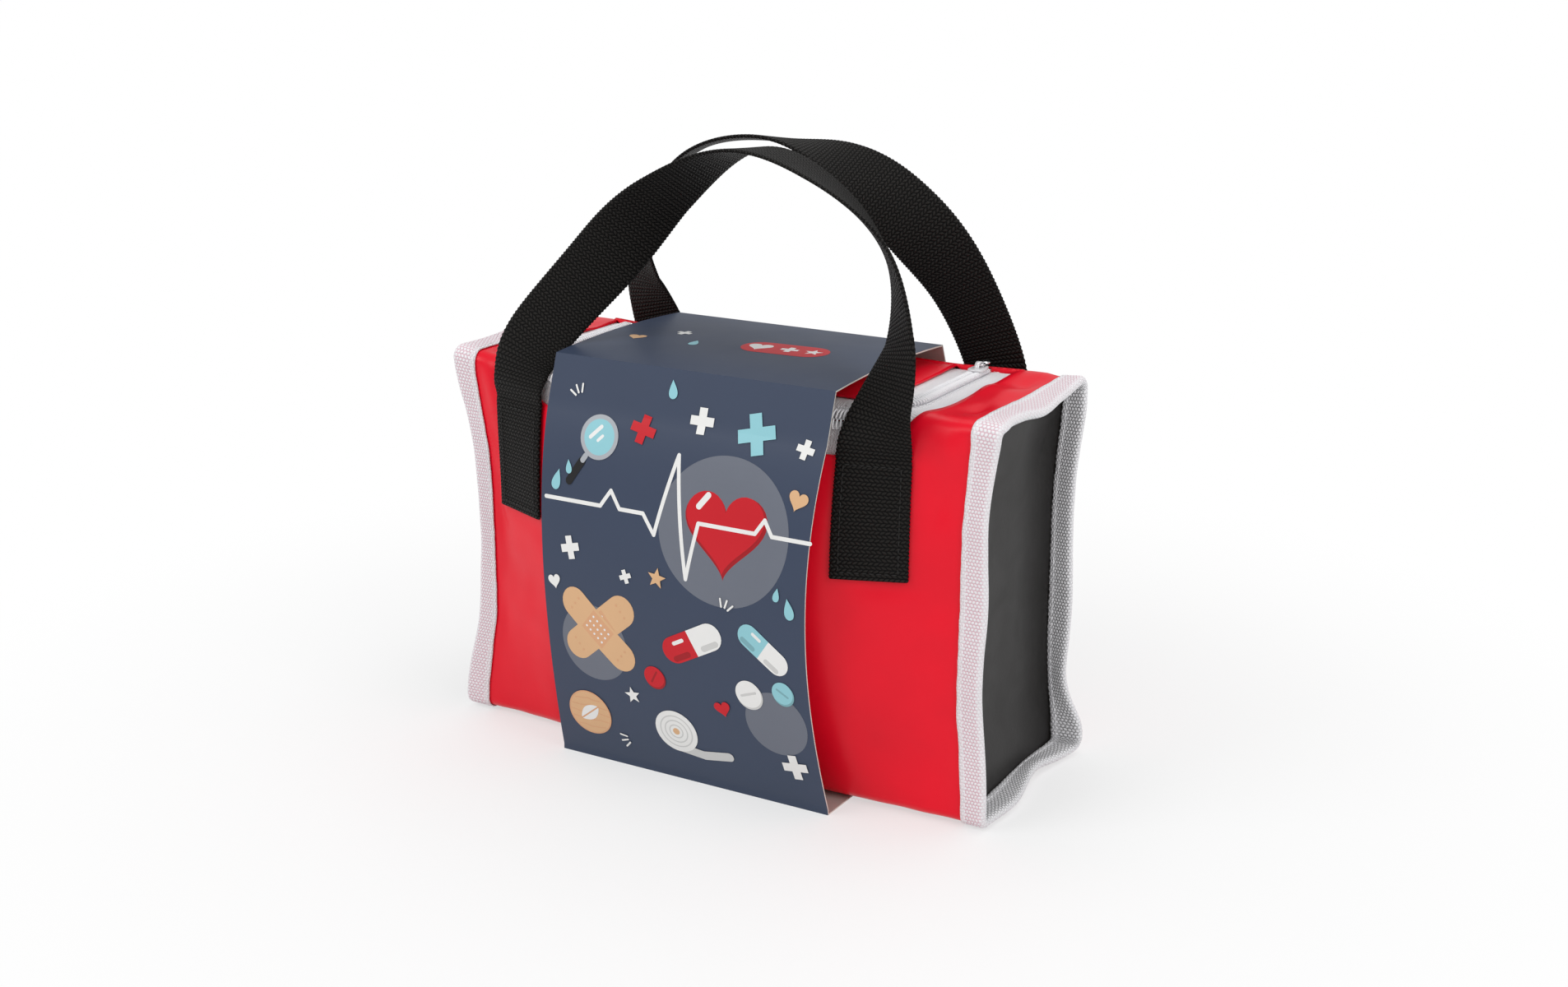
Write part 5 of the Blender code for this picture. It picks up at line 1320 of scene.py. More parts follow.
class CASE_OT_slider(bpy.types.Operator):
    """Makes the zip's slider and its pull"""
    bl_idname = "doctor_case.slider"
    bl_label = "Slider"

    def execute(self, context):
        low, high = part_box("zipper_slider")
        middle = (low + high) / 2
        pull_low, pull_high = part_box("zipper_pull")
        eye = (pull_low.z + pull_high.z) / 2
        plate_z = eye - PLATE_BELOW_EYE
        bm = bmesh.new()
        for height, wide in ((plate_z, PLATE_TOP_W), (low.z + PLATE_T / 2, PLATE_LOW_W)):
            def place(x, y):
                narrow = 1 - PLATE_NARROW * smooth((y + 1) / 2)
                x, y = math.copysign(abs(x) ** PLATE_ROUND_X, x), math.copysign(abs(y) ** PLATE_ROUND_Y, y)
                return middle.x + x * wide / 2 * narrow, middle.y + y * PLATE_HALF_L

            top = add_plate(bm, 24, place, PLATE_T, height - PLATE_T / 2)
            rim = {edge for vert in top for edge in vert.link_edges if edge.other_vert(vert) in top}
            bmesh.ops.bevel(bm, geom=list(rim), offset=PLATE_EDGE, segments=3, profile=0.5, affect="EDGES",
                            material=-1)
        add_box(bm, (middle.x, middle.y + POST_SHIFT, (plate_z + low.z) / 2), (POST_W, POST_L, plate_z - low.z))

        def bridge(share):
            angle = math.pi * share
            return Vector((middle.x, middle.y - BRIDGE_HALF_L * math.cos(angle),
                           plate_z + BRIDGE_RISE * math.sin(angle)))

        add_band(bm, row_of(BRIDGE_STEPS, bridge), Vector((1, 0, 0)), BRIDGE_W, BRIDGE_T)
        bmesh.ops.recalc_face_normals(bm, faces=bm.faces)
        finish_piece("zip_slider", bm, ["zip_lacquer"], "slider", ["zipper_slider"])
        bm = bmesh.new()
        hinge = Vector((middle.x, pull_low.y + RING_INSET, eye))

        def ring(share):
            angle = 2 * math.pi * share
            return hinge + Vector((RING_HALF_W * math.sin(angle),
                                   RING_SHIFT - RING_HALF_L * math.cos(angle), 0))

        add_tube(bm, row_of(RING_TURN_STEPS, ring), RING_WIRE_R)
        add_plate(bm, 20, lambda x, y: (hinge.x + x * TAB_HALF_W, hinge.y + TAB_SHIFT + y * TAB_HALF_L), TAB_T,
                  eye - TAB_T / 2)
        bmesh.ops.recalc_face_normals(bm, faces=bm.faces)
        finish_piece("zip_pull", bm, ["bright_metal"], "pull", ["zipper_pull"])
        return {"FINISHED"}


def join_rows(bm, rows, closed=False):
    """Adds the faces between neighbouring rings of corners."""
    for a, b in zip(rows, rows[1:] + rows[:1] if closed else rows[1:]):
        for k in range(len(a)):
            after = (k + 1) % len(a)
            bm.faces.new((a[k], a[after], b[after], b[k]))


def add_band(bm, path, side, width, thickness):
    """Adds a flat closed band along a path."""
    rows = []
    for index, point in enumerate(path):
        run = path[min(index + 1, len(path) - 1)] - path[max(index - 1, 0)]
        up = side.cross(run).normalized()
        rows.append([bm.verts.new(point + side * (a * width / 2) + up * (b * thickness / 2))
                     for a, b in ((-1, -1), (1, -1), (1, 1), (-1, 1))])
    bm.faces.new(rows[0])
    bm.faces.new(rows[-1])
    join_rows(bm, rows)


def add_tube(bm, path, radius, sides=8):
    """Adds a round tube along a closed path that lies flat."""
    rows = []
    for index, point in enumerate(path[:-1]):
        run = path[index + 1] - path[index - 1 if index else len(path) - 2]
        out = run.cross(Vector((0, 0, 1))).normalized()
        turns = [2 * math.pi * k / sides for k in range(sides)]
        rows.append([bm.verts.new(point + out * (radius * math.cos(turn))
                                  + Vector((0, 0, radius * math.sin(turn)))) for turn in turns])
    join_rows(bm, rows, closed=True)


# The handles


def smooth_row(rows, share):
    """Row between the given rows, on a curve that passes through them all."""
    place = min(share * (len(rows) - 1), len(rows) - 1 - GAP)
    index = int(place)
    t = place - index
    before = rows[index - 1] if index else [2 * a - b for a, b in zip(rows[0], rows[1])]
    start, end = rows[index], rows[index + 1]
    after = rows[index + 2] if index + 2 < len(rows) else [2 * a - b for a, b in zip(rows[-1], rows[-2])]
    return [(2 * b + (c - a) * t + (2 * a - 5 * b + 4 * c - d) * t * t + (3 * b - a - 3 * c + d) * t ** 3) / 2
            for a, b, c, d in zip(before, start, end, after)]


def ribbon_rows(face, shares, span, shift, way):
    """Middle surface of a whole handle, foot to foot: a row of points across it for each step."""
    sizes = bpy.context.scene.case_sizes
    wide = sizes.strap_width
    off = FOOT_GAP + sizes.strap_thickness / 2
    foot = [lifted(face, shift + side * span / 2, FOOT_TOP, off) for _, side in SIDES]
    crown_y = way * (wide + CROWN_GAP) / 2
    steps_across = [k / STRAP_CELLS - 0.5 for k in range(STRAP_CELLS + 1)]

    def centre(share):
        across, lean, rise, _ = smooth_row(shares, share)
        foot_y = foot[0].y + (foot[1].y - foot[0].y) * share
        return Vector((shift + across * span / 2, foot_y + (crown_y - foot_y) * lean,
                       FOOT_TOP + STITCH_GAP + ARCH_RISE * rise))

    def foot_row(end, z):
        turn = -1 if end else 1
        return [lifted(face, foot[end].x + turn * wide * step, z, off) for step in steps_across]

    rows = [foot_row(0, FOOT_BOTTOM + (FOOT_TOP - FOOT_BOTTOM) * k / FOOT_STEPS) for k in range(FOOT_STEPS)]
    bases = [foot_row(end, FOOT_TOP) for end in (0, 1)]
    step = 1 / (4 * ARCH_STEPS)
    for index in range(ARCH_STEPS + 1):
        share = index / ARCH_STEPS
        tangent = (centre(min(1, share + step)) - centre(max(0, share - step))).normalized()
        side = tangent.cross(Vector((0, -1, 0))).normalized()
        depth = Vector((0, 1, 0))
        depth = (depth - tangent * tangent.dot(depth)).normalized()
        _, _, rise, turn = smooth_row(shares, share)
        twist = turn * math.pi / 2
        width = side * math.cos(twist) - depth * (way * math.sin(twist))
        end = 0 if share < 0.5 else 1
        middle = centre(share)
        points = []
        for base, across in zip(bases[end], steps_across):
            free = width * (wide * across)
            held = base - foot[end]
            points.append(middle + held + (free - held) * smooth(rise / FLARE_RISE))
        rows.append(points)
    return rows + [foot_row(1, FOOT_TOP - (FOOT_TOP - FOOT_BOTTOM) * k / FOOT_STEPS)
                   for k in range(1, FOOT_STEPS + 1)]


TINY = 1e-9


def even_rows(rows, spacing):
    """Spreads rows evenly along the ribbon's middle line."""
    middle = len(rows[0]) // 2
    run = [0]
    for a, b in zip(rows, rows[1:]):
        run.append(run[-1] + (b[middle] - a[middle]).length)
    count = round(run[-1] / spacing)
    spread, index = [], 0
    for step in range(count + 1):
        target = run[-1] * step / count
        while index < len(rows) - 2 and run[index + 1] < target:
            index += 1
        t = (target - run[index]) / max(run[index + 1] - run[index], TINY)
        spread.append([a + (b - a) * min(1, max(0, t)) for a, b in zip(rows[index], rows[index + 1])])
    return spread, run[-1]


def make_handle(name, face, shares, span, shift, way):
    """A whole handle as one length of webbing with rounded, scalloped edges; way is the side it hangs on."""
    sizes = bpy.context.scene.case_sizes
    half, wide = sizes.strap_thickness / 2, sizes.strap_width
    rows, total = even_rows(ribbon_rows(face, shares, span, shift, way), sizes.weave_pitch / 2)
    count = len(rows) - 1
    # Loop round the cross-section: (column, height, out past the edge, place on the chart)
    pitch = wide / STRAP_CELLS
    loop = [(k, 1, 0, k * pitch) for k in range(STRAP_CELLS + 1)]
    loop += [(STRAP_CELLS, 0, 1, wide + half)]
    loop += [(STRAP_CELLS - k, -1, 0, wide + 2 * half + k * pitch) for k in range(STRAP_CELLS + 1)]
    loop += [(0, 0, -1, 2 * wide + 3 * half)]
    size = len(loop)
    grid = []
    for index, row in enumerate(rows):
        before, after = rows[max(index - 1, 0)], rows[min(index + 1, count)]
        points = []
        for k, height, past, _ in loop:
            across = (row[min(k + 1, STRAP_CELLS)] - row[max(k - 1, 0)]).normalized()
            up = across.cross((after[k] - before[k]).normalized()).normalized()
            scallop = past * (half * EDGE_SCALLOP_SHARE + (RIB_OUT if index % 2 else RIB_IN))
            rib = 0 if past else -RIB_HEIGHT * (-1) ** index
            thin = EDGE_THIN if k in (0, STRAP_CELLS) and not past else 1
            points.append(row[k] + up * (height * half * thin + rib) + across * scallop)
        grid.append(points)

    def place(u, v):
        return grid[round(v * count)][round(u * size) % size]

    def chart(u, v):
        k = round(u * size)
        return loop[k][-1] if k < size else 2 * wide + 4 * half, total * v

    bm = bmesh.new()
    sheet(bm, size, count, place, chart)
    bmesh.ops.remove_doubles(bm, verts=bm.verts, dist=WELD)
    bmesh.ops.holes_fill(bm, edges=[edge for edge in bm.edges if edge.is_boundary], sides=0)
    bmesh.ops.recalc_face_normals(bm, faces=bm.faces)
    obj = finish_piece(name + "_webbing", bm, ["webbing"], None,
                       [name + "_strap_foot_left", name + "_strap_foot_right", name + "_handle_arch"])
    hinge_y = sum(lifted(face, shift + side * span / 2, FOOT_TOP, FOOT_GAP + half).y for _, side in SIDES) / 2
    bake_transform(obj)


FOOT_STITCH_SIDE, FOOT_STITCH_LOW, FOOT_STITCH_HIGH = 3 * MM, 3 * MM, 2.5 * MM
FOOT_STITCH_SHARE, FOOT_STITCH_R = 1.3, 0.28 * MM


def foot_stitches(bm, face, x):
    """Box of thread on one sewn strap end."""
    sizes = bpy.context.scene.case_sizes
    side = sizes.strap_width / 2 - FOOT_STITCH_SIDE
    low, high = FOOT_BOTTOM + FOOT_STITCH_LOW, FOOT_TOP - FOOT_STITCH_HIGH
    corners = [(-side, low), (side, low), (side, high), (-side, high), (-side, low)]
    lift = FOOT_GAP + sizes.strap_thickness + THREAD_LIFT
    for start, end in zip(corners, corners[1:]):
        def spot(share):
            a, b = blend(start, end, share)
            return lifted(face, x + a, b, lift), normal_of(face, x + a, b)

        count = max(2, round(math.dist(start, end) / (sizes.stitch_length * FOOT_STITCH_SHARE)))
        stitch_row(bm, row_of(count, spot), FOOT_STITCH_R)


class CASE_OT_handles(bpy.types.Operator):
    """Weaves both handles and sews their ends on"""
    bl_idname = "doctor_case.handles"
    bl_label = "Handles"

    def execute(self, context):
        bm = bmesh.new()
        for name, face, shares, span, shift, way in (
                ("front", front_face, FRONT_ARCH_SHARES, FRONT_SPAN, FRONT_SHIFT, -1),
                ("back", back_face, BACK_ARCH_SHARES, BACK_SPAN, BACK_SHIFT, 1)):
            make_handle(name, face, shares, span, shift, way)
            for _, side in SIDES:
                foot_stitches(bm, face, shift + side * span / 2)
        finish_piece("strap_stitches", bm, ["black_thread"], "case")
        return {"FINISHED"}


# The card sleeve and its print


def sleeve_wall(side, z):
    """Depth of the board in front of (-1) or behind (1) the bulging case, at a height."""
    rise = max(0, (z - BASE_Z) / CASE_H)
    if side < 0:
        belly, ease = HALF_D + FRONT_BULGE * cubic(FRONT_BULGE_SHARES, rise), SLEEVE_FRONT_EASE
    else:
        belly, ease = HALF_D + BACK_BULGE * cubic(BACK_BULGE_SHARES, rise) - BACK_TUCK * rise ** TUCK_RISE, \
            SLEEVE_BACK_EASE
    return side * (belly + CARD + SLEEVE_EASE + ease * (1 - rise) ** SLEEVE_FALL)


def sleeve_stretches():
    """Outer face of the board as named stretches (y, z), each a list of points."""
    flap_z = CARD + GAP
    half = (SLEEVE_TOP_BACK_Y - SLEEVE_TOP_FRONT_Y) / 2
    middle = SLEEVE_TOP_FRONT_Y + half

    def top(t):
        y = SLEEVE_TOP_FRONT_Y + 2 * half * t
        return y, SLEEVE_TOP_Z + SLEEVE_TOP_ARCH * (1 - ((y - middle) / half) ** 2)

    def front(t):
        z = SLEEVE_STRAIGHT_Z * t
        return sleeve_wall(-1, z), z

    def back(t):
        z = SLEEVE_STRAIGHT_Z + (flap_z - SLEEVE_STRAIGHT_Z) * t
        return sleeve_wall(1, z), z

    return {
        "floor": row_of(SLEEVE_FLOOR, line(sleeve_wall(1, 0), 0, sleeve_wall(-1, 0), 0)),
        "front": row_of(SLEEVE_TALL, front) + row_of(SLEEVE_CREASE, line(*front(1), *top(0)))[1:],
        "top": row_of(SLEEVE_TOP, top),
        "back": row_of(SLEEVE_CREASE, line(*top(1), *back(0))) + row_of(SLEEVE_TALL, back)[1:],
        "flap": row_of(SLEEVE_FLAP_CELLS, line(*back(1), back(1)[0] - SLEEVE_FLAP, flap_z)),
    }


def sleeve_bow(x, y, z):
    """How far the curved cut of the front's side edges draws a place at x towards the middle."""
    depth = SLEEVE_BOW_LEFT if x < 0 else SLEEVE_BOW_RIGHT
    share = math.sin(math.pi * min(1, max(0, z / SLEEVE_STRAIGHT_Z))) * smooth(-y / SLEEVE_BOW_REACH)
    return math.copysign(depth * share * min(1, abs(x) / SLEEVE_W * 2) ** 2, x)


def on_panel(points, x, run, height):
    """Place on a panel of the sleeve at a distance run along its outline, lifted by height."""
    for (y0, z0), (y1, z1) in zip(points, points[1:]):
        step = math.dist((y0, z0), (y1, z1))
        if run <= step or (y1, z1) == points[-1]:
            t = run / step
            out = Vector((0, -(z1 - z0), y1 - y0)) / step
            spot = Vector((x, y0 + (y1 - y0) * t, z0 + (z1 - z0) * t)) + out * height
            spot.x -= sleeve_bow(spot.x - SLEEVE_SHIFT, spot.y, spot.z)
            return spot
        run -= step


class CASE_OT_sleeve(bpy.types.Operator):
    """Creases the card sleeve round the case"""
    bl_idname = "doctor_case.sleeve"
    bl_label = "Card sleeve"

    def execute(self, context):
        outline = []
        for points in sleeve_stretches().values():
            outline += points if not outline else points[1:]
        count = len(outline) - 1
        run = running(outline)

        def place(u, v):
            y, z = outline[round(v * count)]
            x = SLEEVE_W * (u - 0.5)
            return Vector((SLEEVE_SHIFT + x - sleeve_bow(x, y, z), y, z))

        bm = bmesh.new()
        sheet(bm, SLEEVE_CELLS, count, place, lambda u, v: (SLEEVE_W * u, run[round(v * count)]))
        weld(bm)
        # The card's inner face takes the darkened board, a painted shade; the cut edges take the plain board
        obj = finish_piece("card_sleeve", bm, ["slate_print", "board_back", "board_edge"], "case",
                           ["sleeve_card"])
        thicken(obj, CARD, -1, 2).material_offset = 1
        obj.modifiers.new("Creases", "EDGE_SPLIT").split_angle = CREASE_ANGLE
        return {"FINISHED"}


# Outlines of the printed shapes, in millimetres


CAP_STEPS = 12
DROP_WIDE, DROP_POWER, LEAF_POWER = 0.36, 1.4, 0.8


def circle_outline(radius, count=40):
    return [(radius * math.cos(2 * math.pi * k / count), radius * math.sin(2 * math.pi * k / count))
            for k in range(count)]


def capsule_outline(long, radius, ends=(True, True)):
    """Long shape with round or square ends, along the first direction."""
    points = []
    for side, is_round in ((1, ends[1]), (-1, ends[0])):
        reach = long / 2 - (radius if is_round else 0)
        turns = [math.pi * k / CAP_STEPS for k in range(CAP_STEPS + 1)] if is_round else []
        points += [(side * (reach + radius * math.sin(turn)), -side * radius * math.cos(turn))
                   for turn in turns]
        if not is_round:
            points += [(side * reach, -side * radius), (side * reach, side * radius)]
    return points


def plus_outline(size, arm):
    a, b = size / 2, arm / 2
    return [(b, a), (-b, a), (-b, b), (-a, b), (-a, -b), (-b, -b), (-b, -a), (b, -a), (b, -b), (a, -b), (a, b),
            (b, b)]


def heart_outline(size, count=56):
    unit = size / 32
    turns = [2 * math.pi * k / count for k in range(count)]
    return [(unit * 16 * math.sin(t) ** 3,
             unit * (13 * math.cos(t) - 5 * math.cos(2 * t) - 2 * math.cos(3 * t) - math.cos(4 * t)))
            for t in turns]


def drop_outline(size, count=28):
    turns = [2 * math.pi * k / count for k in range(count)]
    return [(size * DROP_WIDE * math.sin(t) * math.sin(t / 2) ** DROP_POWER, size / 2 * math.cos(t))
            for t in turns]


def star_outline(outer, inner, tips=5):
    corners = [((outer, inner)[k % 2], math.pi * k / tips) for k in range(2 * tips)]
    return [(reach * math.sin(turn), reach * math.cos(turn)) for reach, turn in corners]


def leaf_outline(long, wide, count=12):
    shares = [k / count for k in range(count + 1)]
    upper = [(long * (share - 0.5), wide / 2 * math.sin(math.pi * share) ** LEAF_POWER) for share in shares]
    return upper + [(x, -y) for x, y in reversed(upper[1:-1])]


def turned(points, degrees, middle):
    cos, sin = math.cos(math.radians(degrees)), math.sin(math.radians(degrees))
    return [(middle[0] + x * cos - y * sin, middle[1] + x * sin + y * cos) for x, y in points]


def draw(art, ink, points, middle, degrees=0.0):
    """Adds one shape to a drawing; later shapes lie on earlier ones."""
    art.append((ink, turned(points, degrees, middle)))


def draw_line(art, ink, points, width, middle=(0, 0), degrees=0.0):
    """Draws a line of round-ended strokes."""
    for start, end in zip(points, points[1:]):
        (x0, y0), (x1, y1) = turned([start, end], degrees, middle)
        stroke = capsule_outline(math.dist(start, end) + width, width / 2)
        draw(art, ink, stroke, ((x0 + x1) / 2, (y0 + y1) / 2), math.degrees(math.atan2(y1 - y0, x1 - x0)))


def draw_plaster(art, middle, degrees, long=46):
    draw(art, "beige", capsule_outline(long, long * 0.155), middle, degrees)
    draw(art, "beige_shade", capsule_outline(long * 0.30, long * 0.125, (False, False)), middle, degrees)
    for column in (-2, -1, 0, 1, 2):
        for row in (-1, 0, 1):
            spot = turned([(column * long * 0.055, row * long * 0.068)], degrees, middle)[0]
            draw(art, "white_ink", circle_outline(0.55, 10), spot)
    for side in (-1, 1):
        for row in (-1, 0, 1):
            spot = turned([(side * long * 0.34, row * long * 0.07)], degrees, middle)[0]
            draw(art, "beige_shade", circle_outline(0.6, 10), spot)


SHADES = {"turquoise": "turquoise_shade", "white_ink": "white_shade", "red_ink": "red_shade"}


def draw_pill(art, middle, degrees, ink, long=28):
    """A two-coloured capsule with shaded undersides and a shine."""
    def part(tint, size, half, x, y, ends=(True, True)):
        spot = turned([(x, y)], degrees, middle)[0]
        draw(art, tint, capsule_outline(size, half, ends), spot, degrees)

    radius = long * 0.19
    for side, tint in ((-1, ink), (1, "white_ink")):
        part(tint, long / 2, radius, side * long / 4, 0, (side < 0, side > 0))
        part(SHADES.get(tint, "white_shade"), long * 0.30, radius * 0.22, side * long / 4, -radius * 0.62)
    part("white_ink", long * 0.2, radius * 0.14, -long * 0.2, radius * 0.45)


def draw_tablet(art, middle, degrees, ink, radius=6.5):
    """A round tablet with its break line."""
    draw(art, SHADES[ink], circle_outline(radius), (middle[0] + 0.5, middle[1] - 0.7))
    draw(art, ink, circle_outline(radius * 0.97), middle)
    draw(art, SHADES[ink], capsule_outline(radius * 1.3, radius * 0.09), middle, degrees)


def draw_lens(art, middle, degrees, radius=9.5):
    """A magnifying glass."""
    for ink, down, long, half in (("dark_ink", 1.95, 1.5, 0.19), ("silver", 1.2, 0.5, 0.13)):
        spot = turned([(0, -radius * down)], degrees, middle)[0]
        draw(art, ink, capsule_outline(radius * long, radius * half), spot, degrees + 90)
    draw(art, "silver", circle_outline(radius), middle)
    draw(art, "turquoise", circle_outline(radius * 0.80), middle)
    for long, half, x, y in ((0.9, 0.09, -2, 2), (0.45, 0.07, 0.6, -0.4)):
        shine = capsule_outline(radius * long, radius * half)
        draw(art, "white_ink", shine, (middle[0] + x, middle[1] + y), 45)


def draw_roll(art, middle, radius=11.0):
    """A roll of bandage with its loose end."""
    tail = [(0, -radius * 0.78), (radius * 1.2, -radius * 0.92), (radius * 2.4, -radius * 0.70)]
    draw_line(art, "white_shade", tail, radius * 0.42, middle)
    draw(art, "white_ink", circle_outline(radius), middle)
    for share in (0.78, 0.56, 0.34):
        draw(art, "white_shade", circle_outline(radius * share), middle)
        draw(art, "white_ink", circle_outline(radius * (share - 0.06)), middle)
    draw(art, "beige", circle_outline(radius * 0.16), middle)


def draw_badge(art, middle, radius=11.0):
    """A round wooden badge with a leaf."""
    draw(art, "beige_shade", circle_outline(radius), middle)
    draw(art, "beige", circle_outline(radius * 0.93), middle)
    for k in (-2, -1, 0, 1, 2):
        reach = math.sqrt(0.8 - (k * 0.32) ** 2)
        wave = [(radius * reach * t, radius * (0.32 * k + 0.04 * math.sin(4 * t + k)))
                for t in (-1, -0.5, 0, 0.5, 1)]
        draw_line(art, "beige_shade", wave, 0.5, middle)
    draw(art, "white_ink", leaf_outline(radius * 1.15, radius * 0.62), middle, 38)
    draw(art, "beige_shade", capsule_outline(radius * 1.2, 0.35), middle, 38)


def draw_sparks(art, middle, degrees, ink="white_ink"):
    for turn in (-28, 0, 28):
        spot = turned([(0, 5.2)], degrees + turn, middle)[0]
        draw(art, ink, capsule_outline(4.2, 0.42), spot, degrees + turn + 90)


def front_art():
    """Drawing on the front panel: x from the case's middle and height along the board, in millimetres."""
    art = []
    draw(art, "slate_light", circle_outline(31, 72), (27, 122))
    draw(art, "slate_light", circle_outline(18, 60), (-40, 62))
    draw(art, "slate_light", circle_outline(15, 60), (50, 42))
    pulse = [(-64, 124), (-34, 124), (-29, 131), (-24, 124), (-12, 124), (-6, 116), (2, 150), (10, 100),
             (15, 124), (42, 124), (46, 130), (50, 124), (68, 124)]
    draw(art, "red_shade", heart_outline(39), (28, 123))
    draw(art, "red_ink", heart_outline(37), (27.4, 124))
    draw(art, "white_ink", capsule_outline(9, 1.3), (16.5, 133.5), 52)
    draw_line(art, "white_ink", pulse, 1.7)
    draw_plaster(art, (-36, 70), 38)
    draw_plaster(art, (-37, 69), -42)
    draw_pill(art, (12, 72), 28, "red_ink", 32)
    draw_pill(art, (47, 76), -36, "turquoise", 27)
    draw_tablet(art, (38, 54), 20, "white_ink")
    draw_tablet(art, (55, 58), -30, "turquoise", 5.2)
    draw_tablet(art, (-9, 52), 60, "red_ink", 5.2)
    draw_lens(art, (-38, 152), -34)
    draw_roll(art, (-2, 26), 10.5)
    draw_badge(art, (-48, 25), 11.5)
    for spot, size, turn in (((10, 165), 11, 0), ((-50, 104), 10, 12), ((59, 160), 8, -10), ((56, 22), 12, 8),
                             ((-20, 96), 6, 20)):
        draw(art, "white_ink", plus_outline(size, size * 0.34), spot, turn)
    draw(art, "turquoise", plus_outline(17, 5.6), (36, 163), 14)
    draw(art, "red_ink", plus_outline(12, 4), (-17, 158), -12)
    for spot, size, turn in (((-6, 176), 8, 10), ((-58, 132), 9, -14), ((-52, 138), 6, 8), ((60, 96), 9, 12),
                             ((54, 101), 6, -10)):
        draw(art, "turquoise", drop_outline(size), spot, turn)
    draw(art, "beige", heart_outline(9), (60, 140), -14)
    draw(art, "white_ink", heart_outline(7), (-60, 88), 12)
    draw(art, "red_ink", heart_outline(8), (24, 44), 16)
    draw(art, "white_ink", star_outline(4.2, 1.8), (-22, 40), 10)
    draw(art, "beige", star_outline(4.6, 2.0), (-4, 98), -8)
    draw_sparks(art, (-50, 166), 30)
    draw_sparks(art, (28, 88), -20)
    draw_sparks(art, (-26, 16), 110)
    return art


def top_art():
    """Drawing on the top panel: x and distance back from its front crease."""
    art = []
    draw(art, "red_ink", capsule_outline(40, 9), (18, 46), 4)
    draw(art, "white_ink", heart_outline(11), (6, 45.6), 4)
    draw(art, "white_ink", plus_outline(8, 2.6), (20, 46.4), 4)
    draw(art, "white_ink", star_outline(4.2, 1.8), (31, 47), 4)
    draw(art, "turquoise", drop_outline(8), (-22, 38), 10)
    draw(art, "white_ink", plus_outline(7, 2.4), (-36, 52), -10)
    draw(art, "beige", heart_outline(8), (-50, 36), 8)
    return art


def back_art():
    """Drawing on the back panel: x and distance down from its top crease."""
    art = []
    draw(art, "slate_light", circle_outline(34, 72), (0, 74))
    draw_plaster(art, (0, 74), 30, 60)
    draw(art, "red_ink", heart_outline(20), (-40, 36), 170)
    draw_pill(art, (40, 38), 24, "turquoise", 30)
    draw_tablet(art, (44, 112), 40, "white_ink", 8)
    draw_roll(art, (-40, 120), 11)
    for spot, size in (((0, 24), 12), ((-52, 80), 9), ((54, 78), 9), ((4, 132), 12), ((56, 150), 8)):
        draw(art, "white_ink", plus_outline(size, size * 0.34), spot)
    for spot in ((-20, 30), (22, 150), (-56, 152)):
        draw(art, "turquoise", drop_outline(9), spot, 180)
    return art


# Print: thickness of the ink, step from one shape to the next above it, and slack of the cuts at the creases
INK_T, INK_STEP, CUT_SLACK = 0.02 * MM, 0.0025 * MM, 1e-7
OUTWARD_RISE = 0.6


class CASE_OT_print(bpy.types.Operator):
    """Prints hearts, plasters, pills and a pulse line on the sleeve"""
    bl_idname = "doctor_case.print"
    bl_label = "Print"

    def execute(self, context):
        lift = context.scene.case_sizes.ink_height
        inks = []
        bm = bmesh.new()
        panels = sleeve_stretches()
        for panel, art in (("front", front_art()), ("top", top_art()), ("back", back_art())):
            flat = bmesh.new()
            layer = flat.faces.layers.int.new("ink")
            for order, (ink, points) in enumerate(art):
                if ink not in inks:
                    inks.append(ink)
                height = lift + order * INK_STEP
                face = flat.faces.new([flat.verts.new((x * MM, run * MM, height)) for x, run in points])
                face[layer] = inks.index(ink)
            bmesh.ops.recalc_face_normals(flat, faces=flat.faces)
            run = 0
            for a, b in zip(panels[panel], panels[panel][1:]):
                run += math.dist(a, b)
                bmesh.ops.bisect_plane(flat, geom=flat.verts[:] + flat.edges[:] + flat.faces[:], dist=CUT_SLACK,
                                       plane_co=(0, run, 0), plane_no=(0, 1, 0))
            bmesh.ops.triangulate(flat, faces=flat.faces)
            for vert in flat.verts:
                vert.co = on_panel(panels[panel], vert.co.x, vert.co.y, vert.co.z)
            for face in flat.faces:
                face.material_index = face[layer]
            mesh = bpy.data.meshes.new("print")
            flat.to_mesh(mesh)
            flat.free()
            bm.from_mesh(mesh)
            bpy.data.meshes.remove(mesh)
        bm.normal_update()
        for face in bm.faces:
            spot = face.calc_center_median()
            if face.normal.dot(Vector((0, spot.y, (spot.z - CENTRE.z) * OUTWARD_RISE))) < 0:
                face.normal_flip()
        obj = finish_piece("sleeve_print", bm, inks, "case")
        obj.data.shade_flat()
        thicken(obj, INK_T, -1).use_even_offset = False
        return {"FINISHED"}


# Finishes of the play tools inside the case
TOOLS = {
    "beech": ("otoscope_grip", "syringe_plunger", "tongue_depressor", "stethoscope_arm_left",
              "stethoscope_arm_right"),
    "red_paint": ("otoscope_head", "thermometer_cap", "stethoscope_ear_tip_left", "stethoscope_ear_tip_right",
                  "stethoscope_hub", "stethoscope_chest_piece"),
    "white_paint": ("bottle_cap", "syringe_barrel", "thermometer_body"),
    "turquoise_paint": ("bottle_body",), "black_paint": ("hammer_head",), "silver_paint": ("hammer_handle",),
    "felt": ("plaster_1", "plaster_2", "plaster_3"),
}


class CASE_OT_tools(bpy.types.Operator):
    """Gives the ten play tools inside the case their paint and wood"""
    bl_idname = "doctor_case.tools"
    bl_label = "Play tools"

    def execute(self, context):
        for finish, names in TOOLS.items():
            for name in names:
                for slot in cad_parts[name].material_slots:
                    slot.material = MATERIALS[finish]
        return {"FINISHED"}


# The stage


